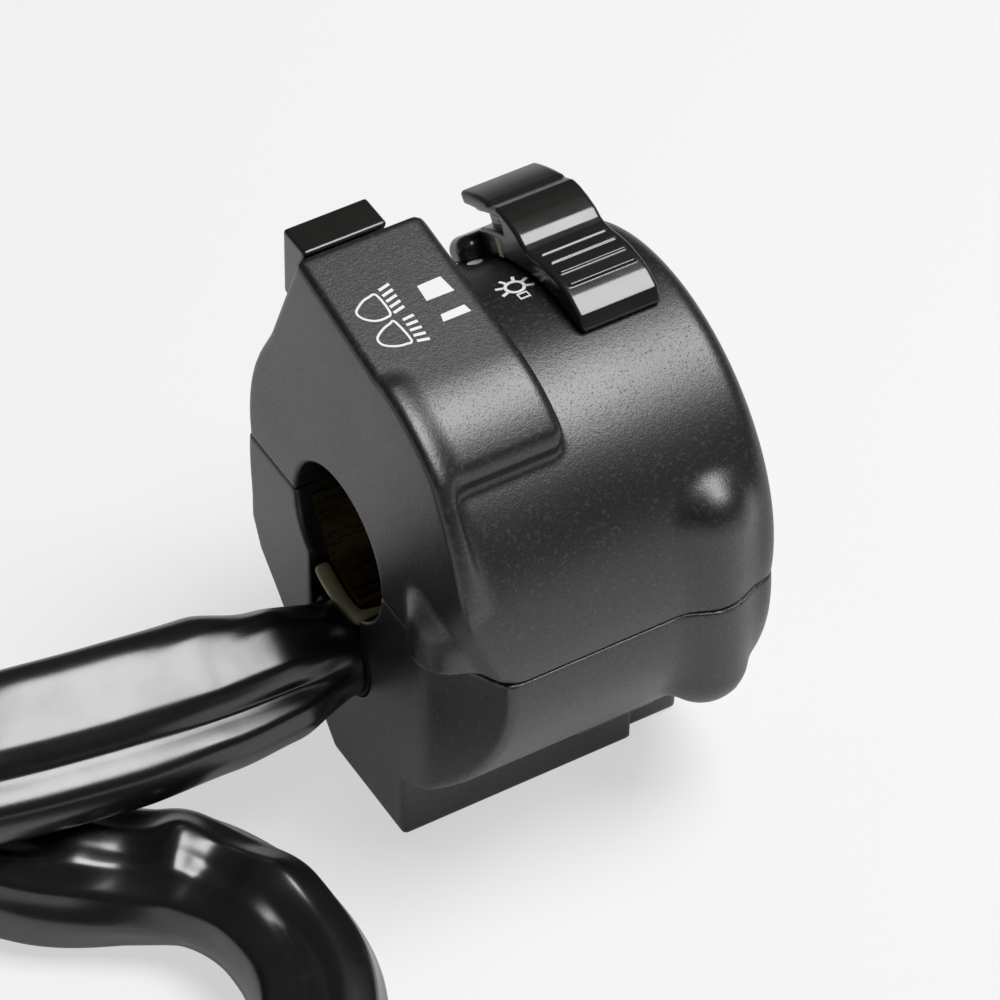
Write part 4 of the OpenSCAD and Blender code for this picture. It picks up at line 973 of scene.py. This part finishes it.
def makeDimmer(s):
    g = gridOf(*s["grid"], s["cell"])
    x, outY, upZ = rearFace(g, house)
    knob = both(outlineField(outY, upZ, s["outline"], s["edge"]), span(x, *s["across"]), s["edge"])
    neck = spans((x, outY, upZ), s["neck"])
    addMoulded("dimmerKnob", np.minimum(knob, neck), g, s, "dimmer", "control", "dimmer_knob")


makeDimmer(dimmerSettings)

# turn-signal slide: a plate with a thumb blade
turnSettings = {
    "foot": 24.3, "tall": 10.0, "edge": 0.5,
    # along the bar and out of the housing
    "outline": [(-7, 0), (7, 0), (7, 1.6), (2.8, 2.4), (1.8, 5.8), (-1.8, 5.8), (-2.8, 2.4), (-7, 1.6)],
    "grooves": (-1.4, 0.0, 1.4), "grooveOut": 6.05, "grooveRadius": 0.5, "grooveEdge": 0.2,
    "neck": (3.0, 2.2), "neckDepth": (21.1, 24.8),
    "grid": ((15.6, 20.6, -13.8), (31.2, 30.9, -2.2)), "cell": 0.18, "sharp": 60,
}


def makeTurn(s):
    g = gridOf(*s["grid"], s["cell"])
    x, y, z = g[0] - house["turnX"], g[1] - s["foot"], g[2] - house["turnZ"]
    knob = both(outlineField(x, y, s["outline"], s["edge"]), np.abs(z) - s["tall"] / 2, s["edge"])
    for at in s["grooves"]:
        groove = np.hypot(x - at, y - s["grooveOut"]) - s["grooveRadius"]
        knob = cut(knob, groove, s["grooveEdge"])
    halfX, halfZ = s["neck"]
    neck = overlap(np.abs(x) - halfX, np.abs(z) - halfZ, span(g[1], *s["neckDepth"]))
    addMoulded("turnKnob", np.minimum(knob, neck), g, s, "turn", "control", "turn_knob")


makeTurn(turnSettings)

# horn button: a dished cap on a flange, in a round bezel, over its return spring
hornSettings = {
    "radius": 5.7, "capFrom": -2.6, "out": 3.6, "edge": 0.9, "dish": 16.0, "dishDepth": 0.6, "dishEdge": 0.4,
    "flange": (7.4, -4.1, -2.5), "flangeEdge": 0.3, "stem": (1.6, -6.1), "stemInto": 0.1,
    "bezel": (6.05, 8.0, 0.0, 1.1), "bezelEdge": 0.4,
    "grid": ((9.0, -1.0, -40.4), (27.0, 18.6, -20.4)), "cell": 0.18, "sharp": 60,
    "springRadius": 4.0, "springWire": 0.7, "springTurns": 4, "springFrom": -9.9, "springLength": 5.8,
    "springSteps": 24, "springSides": 10,
}


def makeHorn(s):
    g = gridOf(*s["grid"], s["cell"])
    across, along, outward = hornFace(g, house)
    off = np.hypot(across, along)
    button = both(off - s["radius"], span(outward, s["capFrom"], s["out"]), s["edge"])
    centre = s["out"] - s["dishDepth"] + s["dish"]
    button = cut(button, np.sqrt(off ** 2 + (outward - centre) ** 2) - s["dish"], s["dishEdge"])
    r, low, high = s["flange"]
    button = np.minimum(button, both(off - r, span(outward, low, high), s["flangeEdge"]))
    r, tip = s["stem"]
    button = np.minimum(button, np.maximum(off - r, span(outward, tip, low + s["stemInto"])))
    addMoulded("hornButton", button, g, s, "horn", "control", "horn_button")
    r0, r1, low, high = s["bezel"]
    bezel = both(span(off, r0, r1), span(outward, low, high), s["bezelEdge"])
    addMoulded("hornBezel", bezel, g, s, "housing", "control", "horn_bezel")


def makeHornSpring(s):
    tilt = math.radians(house["hornTilt"])
    foot = np.array([house["hornX"], *house["hornPlace"]])
    across = np.array([1.0, 0.0, 0.0])
    along = np.array([0.0, math.sin(tilt), math.cos(tilt)])
    out = np.array([0.0, math.cos(tilt), -math.sin(tilt)])
    turn = np.linspace(0, 2 * math.pi * s["springTurns"], s["springSteps"] * s["springTurns"] + 1)[:, None]
    wire = s["springWire"]
    rise = s["springFrom"] + wire / 2 + np.linspace(0, s["springLength"] - wire, len(turn))
    line = foot + s["springRadius"] * (np.cos(turn) * across + np.sin(turn) * along) + rise[:, None] * out
    points, faces = tubeMesh(line, wire / 2, s["springSides"], up=tuple(out))
    spring = addPiece("hornSpring", points, faces, springSteel, "housing", ["horn_spring"])
    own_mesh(spring)
    print("stage: horn spring")


makeHorn(hornSettings)
makeHornSpring(hornSettings)

# white marks printed on the block top and the drum, and a pale one on the lever
markSettings = {
    "proud": 0.06, "sink": 0.05, "stroke": 0.32,
    # block top: x, and mm forward of the rear edge; rays as x and mm, each from and to, and their drop
    "lamps": [
        {"rim": [(3.01, 10.39), (4.43, 9.34), (5.59, 9.02), (6.61, 9.15), (6.87, 12.22), (6.02, 12.76),
                 (4.48, 12.6), (3.24, 11.58)], "rays": (7.25, 8.95, 8.65, 12.5), "drop": (-0.38, 0.0)},
        {"rim": [(3.42, 15.11), (4.67, 14.19), (6.01, 13.75), (6.71, 13.78), (7.19, 17.1), (6.29, 17.4),
                 (4.83, 17.1), (3.52, 16.22)], "rays": (7.75, 9.4, 13.95, 17.55), "drop": (-0.12, 0.12)},
    ],
    "rimSteps": 5, "rays": 5, "rayStroke": 0.42,
    "bars": [[(12.0, 10.1), (15.45, 10.0), (16.0, 12.7), (11.95, 12.65)],
             [(12.5, 15.25), (16.0, 15.15), (16.35, 16.4), (12.25, 16.4)]],
    # drum: x and degrees forward of straight up, then sizes in mm
    "dot": (27.4, -34.8, 1.05, 1.2), "dotSteps": 9, "dotEnds": 0.01,
    "bulb": (26.86, -11.3, 1.25, 1.5, 2.55), "bulbStroke": 0.45, "bulbSteps": 24,
    "bulbRays": 8, "raysLeftOut": (1, 2), "bulbBase": (2.25, 1.35, 1.0),
}


def strokeBand(line, width, closed):
    # the two sides of a stroke along a line
    p = np.asarray(line, float)
    if closed:
        d = np.roll(p, -1, axis=0) - np.roll(p, 1, axis=0)
    else:
        d = np.gradient(p, axis=0)
    d /= np.linalg.norm(d, axis=1)[:, None]
    n = np.stack([-d[:, 1], d[:, 0]], axis=1) * width / 2
    return p + n, p - n


class MarkSheet:
    # gathers flat marks as thin closed solids on a surface
    def __init__(self, place, s):
        self.place, self.s, self.points, self.faces = place, s, [], []

    def band(self, left, right, closed):
        count = len(self.points)
        rows = len(left)
        for high in (self.s["proud"], -self.s["sink"]):
            self.points += [self.place(u, v, high) for side in (left, right) for u, v in side]
        steps = rows if closed else rows - 1
        for i in range(steps):
            j = (i + 1) % rows
            a, b, c, d = count + i, count + j, count + rows + j, count + rows + i
            low = 2 * rows
            for quad in ((a, b, c, d), (d + low, c + low, b + low, a + low), (b, a, a + low, b + low),
                         (d, c, c + low, d + low)):
                self.faces.append(quad)
        if not closed:
            for i, flip in ((0, False), (rows - 1, True)):
                a, d = count + i, count + rows + i
                quad = (a, d, d + 2 * rows, a + 2 * rows)
                self.faces.append(quad[::-1] if flip else quad)

    def stroke(self, line, width, closed=False):
        self.band(*strokeBand(line, width, closed), closed)

    def finish(self, name, material, body):
        obj = addPiece(name, self.points, self.faces, material, body)
        obj.data.polygons.foreach_set("use_smooth", np.zeros(len(obj.data.polygons), bool))


def closedLine(points, steps):
    p = list(points)
    return smoothLine(p[-2:] + p + p[:2], steps)[2 * steps:(2 + len(p)) * steps]


def markBlock(s):
    slope = math.radians(house["topSlope"])
    rearY, rearZ = house["blockCorner"]

    def onTop(x, v, high):
        y, z = rearY - v * math.cos(slope), rearZ - v * math.sin(slope)
        return x, y - high * math.sin(slope), z + high * math.cos(slope)

    sheet = MarkSheet(onTop, s)
    for lamp in s["lamps"]:
        sheet.stroke(closedLine(lamp["rim"], s["rimSteps"]), s["stroke"], closed=True)
        x0, x1, first, last = lamp["rays"]
        dropFrom, dropStep = lamp["drop"]
        for i in range(s["rays"]):
            v = first + (last - first) * i / (s["rays"] - 1)
            sheet.stroke([(x0, v), (x1, v + dropFrom + dropStep * i)], s["rayStroke"])
    for a, b, c, d in s["bars"]:
        sheet.band(np.array([a, b]), np.array([d, c]), False)
    sheet.finish("blockMarks", printWhite, "housing")


def markDrum(s):
    perDegree = math.radians(drumR)

    def onDrum(x, w, high):
        y, z = drumPlace(drumR + high, math.degrees(w / drumR))
        return x, float(y), float(z)

    sheet = MarkSheet(onDrum, s)
    x, a, half, tall = s["dot"]
    w = a * perDegree
    t = np.linspace(0, math.pi, s["dotSteps"])
    sheet.band(np.stack([x - half * np.cos(t), w + tall * np.sin(t)], axis=1),
               np.stack([x - half * np.cos(t), w - tall * np.sin(t) - s["dotEnds"]], axis=1), False)
    x, a, ring, rayIn, rayOut = s["bulb"]
    w = a * perDegree
    t = np.arange(s["bulbSteps"]) * 2 * math.pi / s["bulbSteps"]
    sheet.stroke(np.stack([x + ring * np.cos(t), w + ring * np.sin(t)], axis=1), s["bulbStroke"], closed=True)
    for i in range(s["bulbRays"]):
        if i in s["raysLeftOut"]:
            continue
        angle = 2 * math.pi * (i + 0.5) / s["bulbRays"]
        reach = np.array([math.cos(angle), math.sin(angle)])
        sheet.stroke([np.array([x, w]) + reach * rayIn, np.array([x, w]) + reach * rayOut], s["bulbStroke"])
    ahead, wide, deep = s["bulbBase"]
    corners = [(x + wide / 2 * i, w + ahead + deep / 2 * j) for i, j in ((-1, -1), (1, -1), (1, 1), (-1, 1))]
    sheet.stroke(corners, s["stroke"], closed=True)
    sheet.finish("drumMarks", printWhite, "housing")


def markLever(s, lever):
    x, a0, a1, h0, h1 = lever["index"]

    def onFoot(a, h, high):
        y, z = drumPlace(drumR + h, lever["rest"] + a)
        return x - high, float(y), float(z)

    sheet = MarkSheet(onFoot, s)
    sheet.band(np.array([(a0, h0), (a0, h1)]), np.array([(a1, h0), (a1, h1)]), False)
    sheet.finish("leverMark", printCream, "light")


markBlock(markSettings)
markDrum(markSettings)
markLever(markSettings, leverSettings)
print("stage: marks")

# softened edges on pieces that keep their mesh: widths in mm
edgeSettings = {
    "widths": {"connector": 0.5, "grommet": 0.4, "cable_clamp": 0.15, "housing_screws": 0.15,
               "light_slider": 0.2, "dimmer_slider": 0.2, "turn_carriage": 0.2},
    "segments": 2,
    "sharper": 40,  # only edges that turn by more degrees
}


def softenEdges(s):
    for name, width in s["widths"].items():
        bevel = nodes[name].modifiers.new("softEdge", "BEVEL")
        bevel.width = width * mm
        bevel.segments = s["segments"]
        bevel.limit_method = "ANGLE"
        bevel.angle_limit = math.radians(s["sharper"])


softenEdges(edgeSettings)
print("stage: softened edges")

# floor, lamp and surroundings
studioSettings = {
    "floorZ": -40.5, "floorGap": 0.05, "floorSize": 6.0,
    "paper": ((0.87, 0.87, 0.87), (0.90, 0.90, 0.90)), "paperGrain": 900.0, "paperPatch": 8.0,
    "paperRough": 0.9, "paperSpecular": 0.1, "seenGlow": 0.6, "mirrorGlow": 0.3,
    "lampPlace": (0.33, -0.20, 0.92), "lampSize": (0.60, 0.53), "lampRadiance": 10.0, "worldStrength": 0.06,
}


def floorPaper(s):
    mat, tree, shader = newMaterial("floorPaper")
    g = useGroup(tree, grainGroup, Grain_Scale=s["paperGrain"], Patch_Scale=s["paperPatch"])
    tree.links.new(mixColour(tree, g.outputs["Patches"], *s["paper"]), shader.inputs["Base Color"])
    shader.inputs["Roughness"].default_value = s["paperRough"]
    shader.inputs["Specular IOR Level"].default_value = s["paperSpecular"]
    # the camera and reflections see a white sheet that keeps part of the object's shadow
    path = tree.nodes.new("ShaderNodeLightPath").outputs
    seen = addMath(tree, "MULTIPLY", path["Is Camera Ray"], s["seenGlow"])
    mirrored = addMath(tree, "MAXIMUM", path["Is Glossy Ray"], path["Is Transmission Ray"])
    mirrored = addMath(tree, "MULTIPLY", mirrored, s["mirrorGlow"])
    glow = tree.nodes.new("ShaderNodeEmission")
    glow.inputs["Strength"].default_value = 1.0
    blend = tree.nodes.new("ShaderNodeMixShader")
    tree.links.new(addMath(tree, "MAXIMUM", seen, mirrored), blend.inputs["Fac"])
    tree.links.new(shader.outputs["BSDF"], blend.inputs[1])
    tree.links.new(glow.outputs["Emission"], blend.inputs[2])
    tree.links.new(blend.outputs["Shader"], tree.nodes["Material Output"].inputs["Surface"])
    return mat


def makeStudio(s):
    mesh = bpy.data.meshes.new("floor")
    h, z = s["floorSize"] / 2, (s["floorZ"] - s["floorGap"]) * mm
    mesh.from_pydata([(-h, -h, z), (h, -h, z), (h, h, z), (-h, h, z)], [], [(0, 1, 2, 3)])
    floor = bpy.data.objects.new("floor", mesh)
    bpy.context.scene.collection.objects.link(floor)
    mesh.materials.append(floorPaper(s))
    world = bpy.data.worlds.new("surroundings")
    world.use_nodes = True
    bpy.context.scene.world = world
    world.node_tree.nodes["Background"].inputs["Color"].default_value = (1, 1, 1, 1)
    world.node_tree.nodes["Background"].inputs["Strength"].default_value = s["worldStrength"]
    data = bpy.data.lights.new("overheadBox", "AREA")
    data.shape = "RECTANGLE"
    data.size, data.size_y = s["lampSize"]
    data.energy = s["lampRadiance"] * math.pi * data.size * data.size_y
    lamp = bpy.data.objects.new("overheadBox", data)
    lamp.location = s["lampPlace"]
    lamp.rotation_euler = (-Vector(s["lampPlace"])).to_track_quat("-Z", "Y").to_euler()
    bpy.context.scene.collection.objects.link(lamp)


makeStudio(studioSettings)
print("stage: studio")
